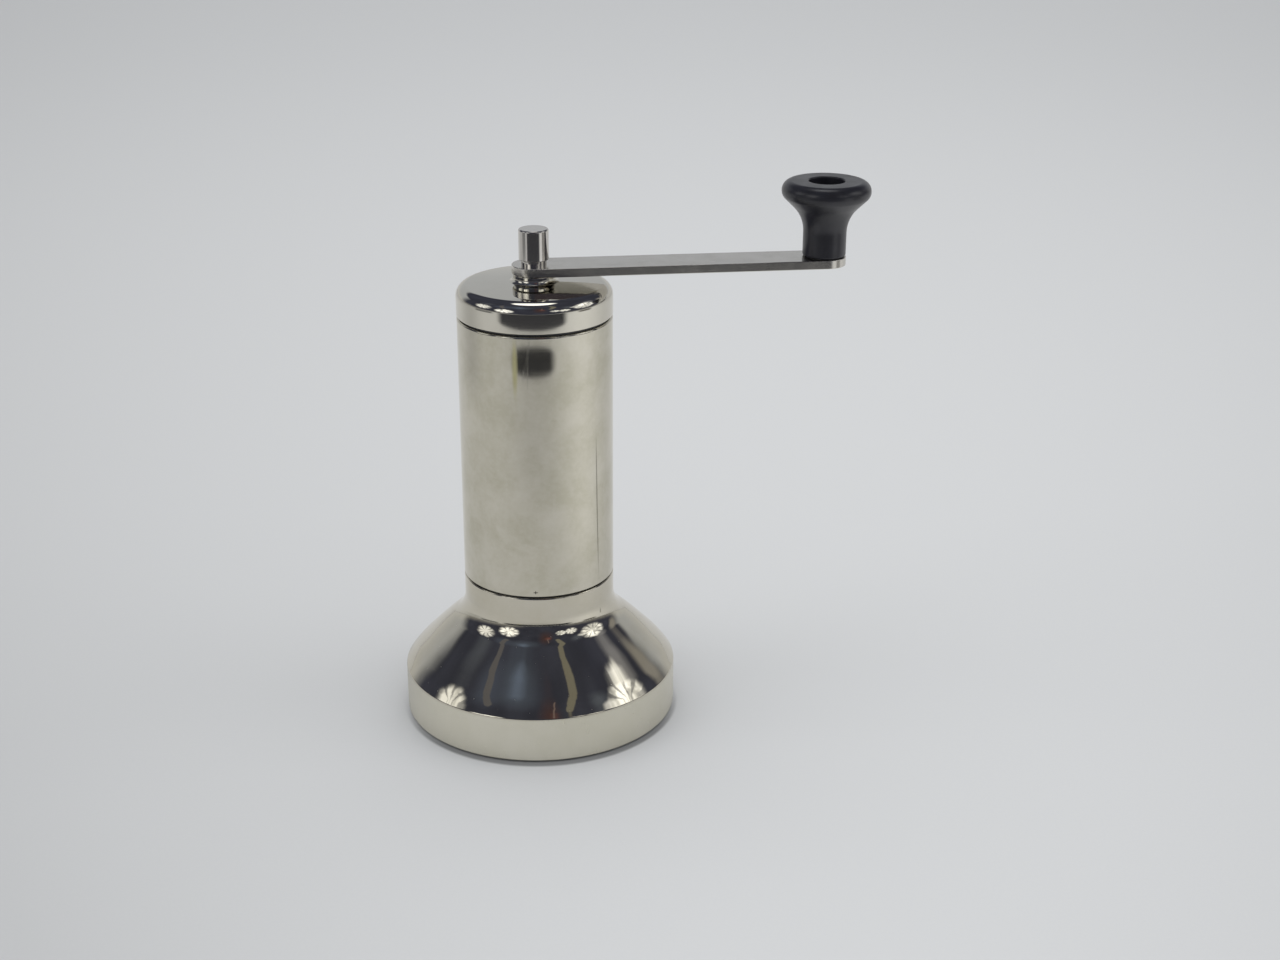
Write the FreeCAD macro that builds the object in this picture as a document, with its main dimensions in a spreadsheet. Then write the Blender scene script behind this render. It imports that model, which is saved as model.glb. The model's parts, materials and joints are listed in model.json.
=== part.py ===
import FreeCAD, Part
import math
import os

import Sketcher

# Hand-cranked spice mill: a flared base that catches the grounds, a straight tube
# for the spices with the burr unit in its lower end, and a lid that carries the crank.
# Origin on the mill's axis at the table, +Z up, the crank arm along +X. Millimetres.

SIZES = {
    # base
    "base_radius": 47.5,        # outside of the rim
    "base_height": 50.3,        # lower edge of the shell to the top of the neck
    "rim_height": 15.9,         # lower edge to the corner under the flare
    "flare_angle": 45.0,        # slope of the flare, from level
    "flare_fillet": 12.0,       # hollow curve where the flare meets the neck
    "rim_round": 1.8,           # outside curve where the flare meets the rim
    "rim_round_inside": 0.9,
    "shell_wall": 1.5,
    "edge_break": 0.35,         # small chamfer on turned and spun edges
    "foot_proud": 0.5,          # how far the foot pad lifts the shell off the table
    "pan_recess": 0.2,          # base pan above the shell's lower edge
    "pan_height": 3.0,
    "pan_wall": 1.2,
    "pan_bend": 1.0,            # curve of the pressed pan's edge
    "press_gap": 0.05,          # between pieces that are pressed or glued together
    "cut_past": 1.0,            # how far a cutting outline runs past the face it cuts
    # neck collar and its key
    "collar_height": 10.6,
    "collar_wall": 1.85,
    "spigot_gap": 0.1,          # push fit of the burr unit in the collar
    "key_angle": -97.0,         # where the key and the mark above it stand
    "key_width": 3.0,
    "key_depth": 1.0,
    "key_gap": 0.1,
    # tube
    "tube_radius": 26.0,        # outside of the tube and of the neck
    "tube_wall": 1.5,
    "tube_length": 91.6,
    "tube_lip": 0.7,            # curve of the tube's upper edge
    "seam_flange": 0.5,         # thin flange that shows as the dark seam
    "seam_recess": 0.7,         # how far that flange stays inside the tube's face
    "rest_gap": 0.1,            # between pieces that lift apart
    # burr housing
    "housing_height": 12.6,     # above the seam
    "spigot_length": 10.4,      # below the seam
    "spigot_wall": 3.45,
    "lip_step": 0.2,            # throat inside the outer burr's mouth
    "funnel_depth": 6.0,
    "seal_level": 5.2,          # seal groove below the seam
    "seal_groove": 1.45,        # depth
    "seal_radius": 0.7,         # half of the O-ring's thickness
    "seal_play": 0.14,          # beside the O-ring in its groove
    # burrs
    "burr_height": 15.0,
    "burr_fine_height": 6.0,    # level of the outer burr's fine teeth
    "burr_mouth_wall": 3.6,     # outer burr's wall at its upper end
    "burr_foot_wall": 1.7,      # and at its lower end, to the fine teeth's tips
    "burr_gap": 0.37,           # across the fine teeth at the finest setting
    "cone_lift": 1.5,           # inner burr above the outer burr's lower face
    "cone_height": 14.5,
    "cone_top_radius": 8.0,
    "cone_fine_height": 5.0,
    "fine_angle": 20.0,         # half angle of the fine teeth's cone
    "fine_teeth": 36,
    "fine_depth": 0.8,
    "fine_half_width": 0.95,
    "fine_lead": 9.0,           # turn of a fine tooth from one end to the other
    "tooth_clear": 0.3,         # how far a tooth gap runs past the teeth's ends and tips
    "feed_teeth": 6,            # coarse ridges of the inner burr
    "feed_depth": 3.4,
    "feed_half_width": 3.0,
    "feed_taper": 0.2,          # share of that width at the lower end
    "feed_lead": 52.0,
    "feed_steps": 4,            # stretches that follow the cone
    "wall_teeth": 8,            # coarse grooves of the outer burr
    "wall_depth": 1.8,
    "wall_half_width": 2.2,
    "wall_taper": 0.25,
    "wall_lead": 24.0,
    # spindle
    "spindle_radius": 3.0,
    "spindle_flat": 5.2,        # across the flats that drive the inner burr
    "journal_length": 4.3,      # round end below the flats
    "running_gap": 0.05,        # radial clearance of turning fits
    "hub_radius": 5.0,
    "hub_start": 22.8,          # spindle's foot to its hub
    "hub_length": 17.0,
    "socket_depth": 10.0,
    "nut_flat": 8.0,
    "nut_height": 3.0,
    "nut_recess_radius": 7.0,
    "nut_recess": 3.5,
    # bridges
    "bridge_thick": 2.0,
    "bridge_arm": 4.6,          # width of an arm
    "bridge_arms": 3,
    "bearing_radius": 7.5,      # outside of the upper bearing
    "bearing_height": 6.0,
    "lower_thick": 2.5,
    "bridge_ring": 3.45,        # width of the upper bridge's ring
    "lower_ring": 4.3,          # width of the lower bridge's ring
    "lower_hub_radius": 6.0,
    "lower_hub_height": 7.5,
    "journal_bore": 4.6,        # depth of the round bore for the spindle's end
    "screw_radius": 1.0,
    "screw_grip": 5.0,          # thread length in the housing
    "lower_grip": 3.8,          # shorter below, where the seal groove passes
    "screw_head_radius": 1.6,
    "screw_head": 1.3,
    # adjuster
    "pin_radius": 2.45,
    "pin_flat": 3.9,            # across the flats that keep the pin from turning
    "pin_length": 13.2,
    "pin_top": 2.8,             # pin's end below the lower bridge's upper face
    "wheel_radius": 9.5,
    "wheel_thick": 4.0,
    "wheel_grips": 16,
    "grip_radius": 1.1,
    "keeper_thick": 1.6,
    "keeper_ring": 13.0,        # posts from the axis
    "post_radius": 1.9,
    "keeper_screw_grip": 1.9,
    # spring
    "wire_radius": 0.45,
    "coil_radius": 6.3,
    "coil_turns": 3.5,
    "washer_thick": 0.5,
    "washer_rim": 7.6,
    # lid
    "lid_overhang": 0.1,        # lid past the tube
    "lid_height": 9.9,
    "lid_wall": 1.5,
    "lid_round": 4.0,           # shoulder
    "lid_bevel": 2.5,           # slope of the inside behind the shoulder
    "dome_radius": 320.0,
    "boss_radius": 6.9,
    "boss_height": 13.5,        # lid's lower edge to the top of its boss
    "boss_fillet": 1.6,
    "ceiling": 8.4,             # lid's lower edge to the flat inside
    "groove_height": 0.7,       # plug's flange, seen in the groove under the lid
    "groove_recess": 0.8,
    "plug_depth": 7.0,
    "plug_rise": 5.0,
    "plug_gap": 0.1,            # push fit of the plug in the tube
    "plug_wall": 2.9,
    "plug_seal_level": 3.6,
    "bush_radius": 5.6,
    "bush_flange_radius": 9.0,
    "bush_flange": 2.5,
    "bush_foot_radius": 6.5,
    "bush_foot": 5.7,
    # shaft
    "shaft_radius": 3.5,
    "shaft_bottom": 28.0,       # lower end above the lower bridge's upper face
    "drive_square": 5.0,
    "drive_length": 11.0,
    "socket_gap": 0.05,
    "bearing_shaft_radius": 4.0,
    "bearing_shaft_length": 16.6,
    "clip_level": 1.9,          # clip's upper face below the lid bush
    "clip_thick": 0.8,
    "clip_radius": 6.0,
    "clip_groove": 0.7,
    "clip_mouth": 4.2,
    "shaft_washer_thick": 1.0,
    "shaft_washer_radius": 7.0,
    "arm_square": 6.0,
    "thread_radius": 3.0,
    "thread_length": 9.7,
    # crank
    "arm_reach": 97.4,
    "arm_width": 14.8,
    "arm_thick": 2.9,
    "arm_edge": 0.4,
    "cap_radius": 5.0,
    "cap_height": 11.9,
    "cap_neck_radius": 4.25,
    "cap_neck": 1.7,
    "cap_bore": 10.5,
    "cap_edge": 0.5,
    # knob
    "pin_shank_radius": 2.5,
    "shoulder_radius": 3.0,
    "knob_washer_thick": 0.3,
    "knob_washer_radius": 6.2,
    "knob_play": 0.05,
    "head_radius": 5.0,
    "head_thick": 2.7,
    "head_recess_radius": 2.0,
    "head_recess": 1.5,
    "knob_neck_radius": 7.25,
    "knob_neck": 12.85,         # foot to the corner under the flare
    "knob_angle": 44.0,         # slope of the flare, from level
    "knob_flare": 11.8,
    "knob_radius": 14.85,
    "knob_height": 25.05,
    "knob_rim_round": 3.2,
    "knob_top_round": 3.3,
    "knob_mouth_radius": 6.0,
    "knob_floor": 12.2,         # foot to the shelf that the screw's head holds
    "knob_edge": 0.5,
}

SHEET = "Sizes"
SMALL = 1e-6


class Dim:
    """A length that knows its number and the formula that ties it to the sheet."""

    def __init__(self, number, text):
        self.number = number
        self.text = text

    def __add__(self, other):
        other = dim(other)
        return Dim(self.number + other.number, f"({self.text} + {other.text})")

    def __sub__(self, other):
        other = dim(other)
        return Dim(self.number - other.number, f"({self.text} - {other.text})")

    def __mul__(self, other):
        other = dim(other)
        return Dim(self.number * other.number, f"{self.text} * {other.text}")

    def __truediv__(self, other):
        other = dim(other)
        return Dim(self.number / other.number, f"{self.text} / {other.text}")

    def __neg__(self):
        return Dim(-self.number, f"(0 - {self.text})")

    __radd__ = __add__
    __rmul__ = __mul__

    def __rsub__(self, other):
        return dim(other) - self


def dim(value):
    """Turn a plain number into a Dim and leave a Dim as it is."""
    if isinstance(value, Dim):
        return value
    return Dim(float(value), f"({value})" if value < 0 else f"{value}")


def sine(angle):
    return Dim(math.sin(math.radians(angle.number)), f"sin({angle.text})")


def cosine(angle):
    return Dim(math.cos(math.radians(angle.number)), f"cos({angle.text})")


def tangent(angle):
    return Dim(math.tan(math.radians(angle.number)), f"tan({angle.text})")


def square_root(value):
    return Dim(math.sqrt(value.number), f"sqrt({value.text})")


class Names:
    """Every size of the sheet as an attribute."""


size = Names()
for alias, number in SIZES.items():
    setattr(size, alias, Dim(float(number), f"{SHEET}.{alias}"))

doc = FreeCAD.newDocument("spice_mill")
subparts = []


def make_sheet():
    """Write one row for each driving size, with its alias."""
    sheet = doc.addObject("Spreadsheet::Sheet", SHEET)
    for row, (name, value) in enumerate(SIZES.items(), start=1):
        sheet.set(f"A{row}", name)
        sheet.set(f"B{row}", str(value))
        sheet.setAlias(f"B{row}", name)
    doc.recompute()


def bind(item, prop, value):
    """Tie a property to the sheet, or set it when it is a plain number."""
    value = dim(value)
    item.setExpression(prop, value.text)


def new_body(name, level, several=False):
    """Start a sub-part whose own zero level stands at the given level of the mill."""
    body = doc.addObject("PartDesign::Body", name)
    body.Label = name
    body.AllowCompound = several
    bind(body, "Placement.Base.z", level)
    subparts.append(body)
    return body


def origin_feature(body, role):
    return next(item for item in body.Origin.OriginFeatures if item.Role == role)


def new_sketch(body, plane="XZ_Plane", level=None, turn=None):
    """Empty sketch on one of the body's own planes, raised and turned on request."""
    sketch = body.newObject("Sketcher::SketchObject", f"{body.Name}_sketch")
    sketch.AttachmentSupport = (origin_feature(body, plane), [""])
    sketch.MapMode = "FlatFace"
    if level is not None:
        bind(sketch, "AttachmentOffset.Base.z", level)
    if turn is not None:
        bind(sketch, "AttachmentOffset.Rotation.Angle", turn)
    return sketch


def constrain(sketch, kind, *where, value):
    """Add a constraint that carries a size, tied to the sheet."""
    value = dim(value)
    index = sketch.addConstraint(Sketcher.Constraint(kind, *where, value.number))
    sketch.setExpression(f"Constraints[{index}]", value.text)


def hold_across(sketch, edge, end, across):
    """Fix one end of an edge (or a centre, end 3) at a distance across from the origin."""
    if dim(across).number == 0:
        sketch.addConstraint(Sketcher.Constraint("PointOnObject", edge, end, -2))
    else:
        constrain(sketch, "DistanceX", -1, 1, edge, end, value=across)


def hold_up(sketch, edge, end, up):
    if dim(up).number == 0:
        sketch.addConstraint(Sketcher.Constraint("PointOnObject", edge, end, -1))
    else:
        constrain(sketch, "DistanceY", -1, 1, edge, end, value=up)


def vector(across, up):
    return FreeCAD.Vector(dim(across).number, dim(up).number, 0)


def arc_between(start, finish, radius):
    """Arc of the given radius; a positive one bulges to the right of the way from start to finish."""
    chord = finish - start
    half = chord.Length / 2
    side = FreeCAD.Vector(chord.y, -chord.x, 0).normalize()
    if radius < 0:
        side = side.negative()
    rise = abs(radius) - math.sqrt(radius * radius - half * half)
    return Part.Arc(start, (start + finish) * 0.5 + side * rise, finish)


def draw_outline(sketch, corners):
    """Closed outline; a corner's third entry is the radius of the arc to the next corner.

    Half turns stand between corners above one another; their centre is fixed instead.
    """
    count = len(corners)
    first = sketch.GeometryCount
    ends = []
    for index, corner in enumerate(corners):
        start = vector(*corner[:2])
        finish = vector(*corners[(index + 1) % count][:2])
        if len(corner) == 2:
            sketch.addGeometry(Part.LineSegment(start, finish))
            ends.append((1, 2))
            continue
        radius = dim(corner[2])
        edge = sketch.addGeometry(arc_between(start, finish, radius.number))
        forward = sketch.Geometry[edge].StartPoint.distanceToPoint(start) < 1e-6
        ends.append((1, 2) if forward else (2, 1))
        if (finish - start).Length > 1.999 * abs(radius.number):
            hold_across(sketch, edge, 3, corner[0])
        else:
            constrain(sketch, "Radius", edge, value=radius if radius.number > 0 else -radius)
    for index, corner in enumerate(corners):
        before = (index - 1) % count
        edge = first + index
        sketch.addConstraint(
            Sketcher.Constraint("Coincident", first + before, ends[before][1], edge, ends[index][0])
        )
        hold_across(sketch, edge, ends[index][0], corner[0])
        hold_up(sketch, edge, ends[index][0], corner[1])
    return sketch


def draw_circle(sketch, radius, across=0, up=0):
    radius = dim(radius)
    circle = Part.Circle(vector(across, up), FreeCAD.Vector(0, 0, 1), radius.number)
    edge = sketch.addGeometry(circle)
    constrain(sketch, "Radius", edge, value=radius)
    hold_across(sketch, edge, 3, across)
    hold_up(sketch, edge, 3, up)
    return sketch


def turn_solid(body, corners):
    """Revolve an outline about the body's own axis."""
    sketch = draw_outline(new_sketch(body), corners)
    feature = body.newObject("PartDesign::Revolution", f"{body.Name}_turning")
    feature.Profile = sketch
    feature.ReferenceAxis = (sketch, ["V_Axis"])
    feature.Angle = 360
    doc.recompute()
    return feature


def turn_ring(body, inner, outer, low, high):
    """Revolve a plain rectangle."""
    return turn_solid(body, [(inner, low), (outer, low), (outer, high), (inner, high)])


def volume_of(body):
    return body.Tip.Shape.Volume


def checked_cut(body, feature, before):
    """Make sure that a cut took material away."""
    doc.recompute()
    if not volume_of(body) < before - 1e-6:
        raise RuntimeError(f"{feature.Name} cuts nothing")
    return feature


def turn_groove(body, corners):
    """Cut a turned groove about the body's own axis."""
    before = volume_of(body)
    sketch = draw_outline(new_sketch(body), corners)
    feature = body.newObject("PartDesign::Groove", f"{body.Name}_groove")
    feature.Profile = sketch
    feature.ReferenceAxis = (sketch, ["V_Axis"])
    feature.Angle = 360
    return checked_cut(body, feature, before)


def pad(body, sketch, length, downward=False):
    feature = body.newObject("PartDesign::Pad", f"{body.Name}_pad")
    feature.Profile = sketch
    bind(feature, "Length", length)
    feature.Reversed = downward
    doc.recompute()
    return feature


def pocket(body, sketch, length, upward=False):
    """Cut a sketch into the solid, down from its plane or up from it."""
    before = volume_of(body)
    feature = body.newObject("PartDesign::Pocket", f"{body.Name}_pocket")
    feature.Profile = sketch
    bind(feature, "Length", length)
    feature.Reversed = upward
    return checked_cut(body, feature, before)


def repeat_around(body, features, count):
    """Polar pattern about the body's own axis."""
    feature = body.newObject("PartDesign::PolarPattern", f"{body.Name}_pattern")
    feature.Originals = features
    feature.Axis = (origin_feature(body, "Z_Axis"), [""])
    feature.Angle = 360
    bind(feature, "Occurrences", count)
    body.Tip = feature
    doc.recompute()
    return feature


def ring_edges(feature, radius, level):
    """Names of the round edges about the axis at a radius and a level."""
    radius = dim(radius).number
    level = dim(level).number
    names = []
    for index, edge in enumerate(feature.Shape.Edges, start=1):
        curve = edge.Curve
        if not isinstance(curve, Part.Circle):
            continue
        off_axis = math.hypot(curve.Center.x, curve.Center.y)
        near = abs(curve.Radius - radius) < 0.02 and abs(curve.Center.z - level) < 0.02
        if near and off_axis < 0.02:
            names.append(f"Edge{index}")
    if not names:
        raise RuntimeError(f"no edge of {feature.Name} at {radius}, {level}")
    return names


def soften(body, feature, kind, reach, edges):
    """Fillet or chamfer the named edges."""
    softened = body.newObject(f"PartDesign::{kind}", f"{body.Name}_{kind.lower()}")
    softened.Base = (feature, edges)
    bind(softened, "Radius" if kind == "Fillet" else "Size", reach)
    doc.recompute()
    return softened


def round_rings(body, feature, radius, rings):
    """Fillet the round edges given as (radius, level) pairs."""
    edges = [name for ring in rings for name in ring_edges(feature, *ring)]
    return soften(body, feature, "Fillet", radius, edges)


def break_rings(body, feature, reach, rings):
    """Chamfer the round edges given as (radius, level) pairs."""
    edges = [name for ring in rings for name in ring_edges(feature, *ring)]
    return soften(body, feature, "Chamfer", reach, edges)


def flatted_circle(sketch, radius, across_flats):
    """Circle with two flats that face +Y and -Y."""
    half = across_flats / 2
    reach = square_root(radius * radius - half * half)
    corners = [(reach, -half, radius), (reach, half), (-reach, half, radius), (-reach, -half)]
    return draw_outline(sketch, corners)


def square(sketch, across_flats):
    half = across_flats / 2
    return draw_outline(sketch, [(half, -half), (half, half), (-half, half), (-half, -half)])


# Radii that follow from the tube, from the outside in.

lid_radius = size.tube_radius + size.lid_overhang
tube_bore = size.tube_radius - size.tube_wall
plug_radius = tube_bore - size.plug_gap
plug_bore = plug_radius - size.plug_wall
sleeve_radius = tube_bore - size.press_gap
funnel_radius = sleeve_radius - size.bridge_ring
bridge_screw_ring = (sleeve_radius + funnel_radius) / 2
neck_bore = size.tube_radius - size.shell_wall
collar_bore = neck_bore - size.press_gap - size.collar_wall
spigot_radius = collar_bore - size.spigot_gap
burr_radius = spigot_radius - size.spigot_wall - size.press_gap
lower_screw_ring = (spigot_radius + burr_radius) / 2
lower_ring_bore = spigot_radius - size.lower_ring
burr_mouth = burr_radius - size.burr_mouth_wall
throat_radius = burr_mouth - size.lip_step
burr_tooth_foot = burr_radius - size.burr_foot_wall
cone_radius = burr_tooth_foot - size.burr_gap - size.cone_lift * tangent(size.fine_angle)

# Levels of the whole mill, from the table up.

shell_level = size.foot_proud
neck_top = shell_level + size.base_height
seam = neck_top + size.rest_gap + size.seam_flange
spigot_foot = seam - size.spigot_length
tube_top = seam + size.tube_length
housing_top = seam + size.housing_height
cone_foot = spigot_foot + size.cone_lift
cone_top = cone_foot + size.cone_height
pin_end = spigot_foot - size.pin_top
spindle_foot = pin_end
wheel_top = spigot_foot - size.lower_hub_height - size.rest_gap
keeper_top = wheel_top - size.wheel_thick - size.rest_gap
lid_rest = tube_top + size.rest_gap
lid_edge = lid_rest + size.groove_height
bush_foot = lid_edge + size.ceiling - size.bush_flange - size.bush_foot
arm_level = lid_edge + size.boss_height + size.rest_gap
arm_top = arm_level + size.arm_thick
knob_level = arm_top + size.knob_washer_thick + size.knob_play


# Base


def flare_offset():
    """Drop of the inner corners, so that the wall keeps its thickness along the flare."""
    return size.shell_wall * (1 - sine(size.flare_angle)) / cosine(size.flare_angle)


def make_base_shell():
    """Spun shell: vertical rim, flare and neck, open at both ends."""
    body = new_body("base_shell", shell_level)
    inner_rim = size.base_radius - size.shell_wall
    rise = (size.base_radius - size.tube_radius) * tangent(size.flare_angle)
    neck_corner = size.rim_height + rise
    drop = flare_offset()
    feature = turn_solid(body, [
        (size.base_radius, 0),
        (size.base_radius, size.rim_height),
        (size.tube_radius, neck_corner),
        (size.tube_radius, size.base_height),
        (neck_bore, size.base_height),
        (neck_bore, neck_corner - drop),
        (inner_rim, size.rim_height - drop),
        (inner_rim, 0),
    ])
    feature = round_rings(body, feature, size.flare_fillet, [(size.tube_radius, neck_corner)])
    inner_fillet = size.flare_fillet + size.shell_wall
    feature = round_rings(body, feature, inner_fillet, [(neck_bore, neck_corner - drop)])
    feature = round_rings(body, feature, size.rim_round, [(size.base_radius, size.rim_height)])
    inner_corner = [(inner_rim, size.rim_height - drop)]
    feature = round_rings(body, feature, size.rim_round_inside, inner_corner)
    break_rings(body, feature, size.edge_break, [
        (size.base_radius, 0),
        (size.tube_radius, size.base_height),
    ])


def make_base_collar():
    """Turned ring inside the neck, slotted for the burr unit's key."""
    body = new_body("base_collar", neck_top - size.collar_height)
    outside = neck_bore - size.press_gap
    feature = turn_ring(body, collar_bore, outside, 0, size.collar_height)
    edges = [(collar_bore, size.collar_height), (collar_bore, 0)]
    break_rings(body, feature, size.edge_break, edges)
    key_half = size.key_width / 2 + size.key_gap
    key_floor = spigot_radius + size.key_depth + size.key_gap
    sketch = new_sketch(body, "XY_Plane", size.collar_height, size.key_angle)
    mouth = collar_bore - size.cut_past
    draw_outline(sketch, [
        (mouth, -key_half),
        (key_floor, -key_half),
        (key_floor, key_half),
        (mouth, key_half),
    ])
    pocket(body, sketch, size.collar_height)


def make_base_bottom():
    """Pressed pan that closes the base, with its flange turned down."""
    body = new_body("base_bottom", shell_level + size.pan_recess)
    outside = size.base_radius - size.shell_wall - size.press_gap
    inside = outside - size.pan_wall
    ceiling = size.pan_height - size.pan_wall
    feature = turn_solid(body, [
        (inside, 0),
        (outside, 0),
        (outside, size.pan_height),
        (0, size.pan_height),
        (0, ceiling),
        (inside, ceiling),
    ])
    round_rings(body, feature, size.pan_bend, [(outside, size.pan_height)])


def make_foot_pad():
    """Soft non-slip disc under the pan."""
    body = new_body("foot_pad", 0)
    outside = size.base_radius - size.shell_wall - size.pan_wall - 2 * size.press_gap
    thick = shell_level + size.pan_recess + size.pan_height - size.pan_wall
    feature = turn_solid(body, [(0, 0), (outside, 0), (outside, thick), (0, thick)])
    break_rings(body, feature, size.edge_break, [(outside, 0)])


# Tube and burr unit


def make_body_tube():
    body = new_body("body_tube", seam)
    feature = turn_ring(body, tube_bore, size.tube_radius, 0, size.tube_length)
    feature = round_rings(body, feature, size.tube_lip, [(size.tube_radius, size.tube_length)])
    break_rings(body, feature, size.edge_break, [
        (size.tube_radius, 0),
        (tube_bore, size.tube_length),
    ])


def bolt_holes(body, level, ring, depth, upward=False):
    """Round holes for the bridge screws, one for each arm."""
    sketch = draw_circle(new_sketch(body, "XY_Plane", level), size.screw_radius, -ring, 0)
    hole = pocket(body, sketch, depth, upward)
    return repeat_around(body, [hole], size.bridge_arms)


def make_burr_housing():
    """Ring in the tube's lower end: funnel above, seat for the outer burr, spigot below."""
    body = new_body("burr_housing", seam)
    throat = size.housing_height - size.funnel_depth
    lip = spigot_foot + size.burr_height - seam
    seat = burr_radius + size.press_gap
    flange = size.tube_radius - size.seam_recess
    turn_solid(body, [
        (seat, -size.spigot_length),
        (spigot_radius, -size.spigot_length),
        (spigot_radius, -size.seam_flange),
        (flange, -size.seam_flange),
        (flange, 0),
        (sleeve_radius, 0),
        (sleeve_radius, size.housing_height),
        (funnel_radius, size.housing_height),
        (throat_radius, throat),
        (throat_radius, lip),
        (seat, lip),
    ])
    groove_floor = spigot_radius - size.seal_groove
    half = size.seal_radius + size.seal_play
    turn_groove(body, [
        (groove_floor, -size.seal_level - half),
        (spigot_radius + size.cut_past, -size.seal_level - half),
        (spigot_radius + size.cut_past, -size.seal_level + half),
        (groove_floor, -size.seal_level + half),
    ])
    key_half = size.key_width / 2
    key_height = size.seal_level - half - size.seam_flange - size.rest_gap
    sketch = new_sketch(body, "XY_Plane", -size.seam_flange, size.key_angle)
    draw_outline(sketch, [
        (spigot_radius - size.key_depth / 2, -key_half),
        (spigot_radius + size.key_depth, -key_half),
        (spigot_radius + size.key_depth, key_half),
        (spigot_radius - size.key_depth / 2, key_half),
    ])
    pad(body, sketch, key_height, downward=True)
    bolt_holes(body, size.housing_height, bridge_screw_ring, size.screw_grip)
    bolt_holes(body, -size.spigot_length, lower_screw_ring, size.lower_grip, upward=True)


def make_seal(name, level, ring_radius):
    """O-ring."""
    ring = doc.addObject("Part::Torus", name)
    ring.Label = name
    bind(ring, "Radius1", ring_radius)
    bind(ring, "Radius2", size.seal_radius)
    bind(ring, "Placement.Base.z", level)
    subparts.append(ring)


def slanted_cut(body, sections, lead, count):
    """Cut one slanted tooth gap through (level, tip radius, open radius, half width) sections."""
    sketches = []
    span = sections[-1][0] - sections[0][0]
    for level, tip, mouth, half in sections:
        turn = lead * (level - sections[0][0]) / span
        sketch = new_sketch(body, "XY_Plane", level, turn)
        sketches.append(draw_outline(sketch, [(tip, 0), (mouth, -half), (mouth, half)]))
    before = volume_of(body)
    feature = body.newObject("PartDesign::SubtractiveLoft", f"{body.Name}_tooth_gap")
    feature.Profile = sketches[0]
    feature.Sections = sketches[1:]
    feature.Ruled = True
    checked_cut(body, feature, before)
    return repeat_around(body, [feature], count)


def make_outer_burr():
    """Fixed burr: a hardened ring, finely toothed below and widely grooved above."""
    body = new_body("outer_burr", spigot_foot)
    slope = tangent(size.fine_angle)
    foot = burr_tooth_foot
    waist = foot - size.burr_fine_height * slope
    turn_solid(body, [
        (foot, 0),
        (burr_radius, 0),
        (burr_radius, size.burr_height),
        (burr_mouth, size.burr_height),
        (waist, size.burr_fine_height),
    ])
    clear = size.tooth_clear
    spread = size.wall_half_width
    groove_foot = size.burr_fine_height - size.cut_past
    slanted_cut(body, [
        (groove_foot, waist - clear, waist - 2 * clear, spread * size.wall_taper),
        (size.burr_height + clear, burr_mouth + size.wall_depth, burr_mouth - size.cut_past, spread),
    ], size.wall_lead, size.wall_teeth)
    half = size.fine_half_width
    above = size.burr_fine_height + clear
    slanted_cut(body, [
        (-clear, foot + size.fine_depth, foot - clear, half),
        (above, waist + size.fine_depth - clear, waist - 2 * clear, half),
    ], size.fine_lead, size.fine_teeth)


def cone_radius_at(level):
    """Radius of the inner burr's upper cone at a level above its foot."""
    waist = cone_radius - size.cone_fine_height * tangent(size.fine_angle)
    share = (level - size.cone_fine_height) / (size.cone_height - size.cone_fine_height)
    return waist - (waist - size.cone_top_radius) * share


def make_inner_burr():
    """Turning burr: a cone with coarse slanted ridges that feed the fine teeth at its foot."""
    body = new_body("inner_burr", cone_foot)
    waist = cone_radius - size.cone_fine_height * tangent(size.fine_angle)
    turn_solid(body, [
        (0, size.nut_recess),
        (size.nut_recess_radius, size.nut_recess),
        (size.nut_recess_radius, 0),
        (cone_radius, 0),
        (waist, size.cone_fine_height),
        (size.cone_top_radius, size.cone_height),
        (0, size.cone_height),
    ])
    clear = size.tooth_clear
    low = size.cone_fine_height - size.cut_past
    high = size.cone_height + clear
    steps = round(size.feed_steps.number)
    flute = []
    for index in range(steps + 1):
        share = index / steps
        level = low + (high - low) * share
        surface = cone_radius_at(level)
        depth = size.feed_depth * math.sqrt(share)
        half = size.feed_half_width * (size.feed_taper + (1 - size.feed_taper) * share)
        flute.append((level, surface - depth, surface + size.cut_past, half))
    slanted_cut(body, flute, -size.feed_lead, size.feed_teeth)
    half = size.fine_half_width
    slanted_cut(body, [
        (-clear, cone_radius - size.fine_depth, cone_radius + clear, half),
        (size.cone_fine_height + clear, waist - size.fine_depth + clear, waist + clear, half),
    ], -size.fine_lead, size.fine_teeth)
    bore = flatted_circle(
        new_sketch(body, "XY_Plane", size.cone_height),
        size.spindle_radius + size.press_gap,
        size.spindle_flat + size.press_gap,
    )
    pocket(body, bore, size.cone_height)


def make_burr_spindle():
    """Spindle of the inner burr: journal, flats for the burr, and a hub with a square socket."""
    body = new_body("burr_spindle", spindle_foot + size.knob_play)
    top = size.hub_start + size.hub_length
    feature = turn_solid(body, [
        (0, 0),
        (size.spindle_radius, 0),
        (size.spindle_radius, size.hub_start),
        (size.hub_radius, size.hub_start),
        (size.hub_radius, top),
        (0, top),
    ])
    break_rings(body, feature, size.edge_break, [(size.spindle_radius, 0), (size.hub_radius, top)])
    flats_length = size.hub_start - size.journal_length
    sketch = new_sketch(body, "XY_Plane", size.hub_start)
    draw_circle(sketch, size.hub_radius)
    flatted_circle(sketch, size.spindle_radius, size.spindle_flat)
    pocket(body, sketch, flats_length)
    socket = square(new_sketch(body, "XY_Plane", top), size.drive_square + 2 * size.socket_gap)
    pocket(body, socket, size.socket_depth)


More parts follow.
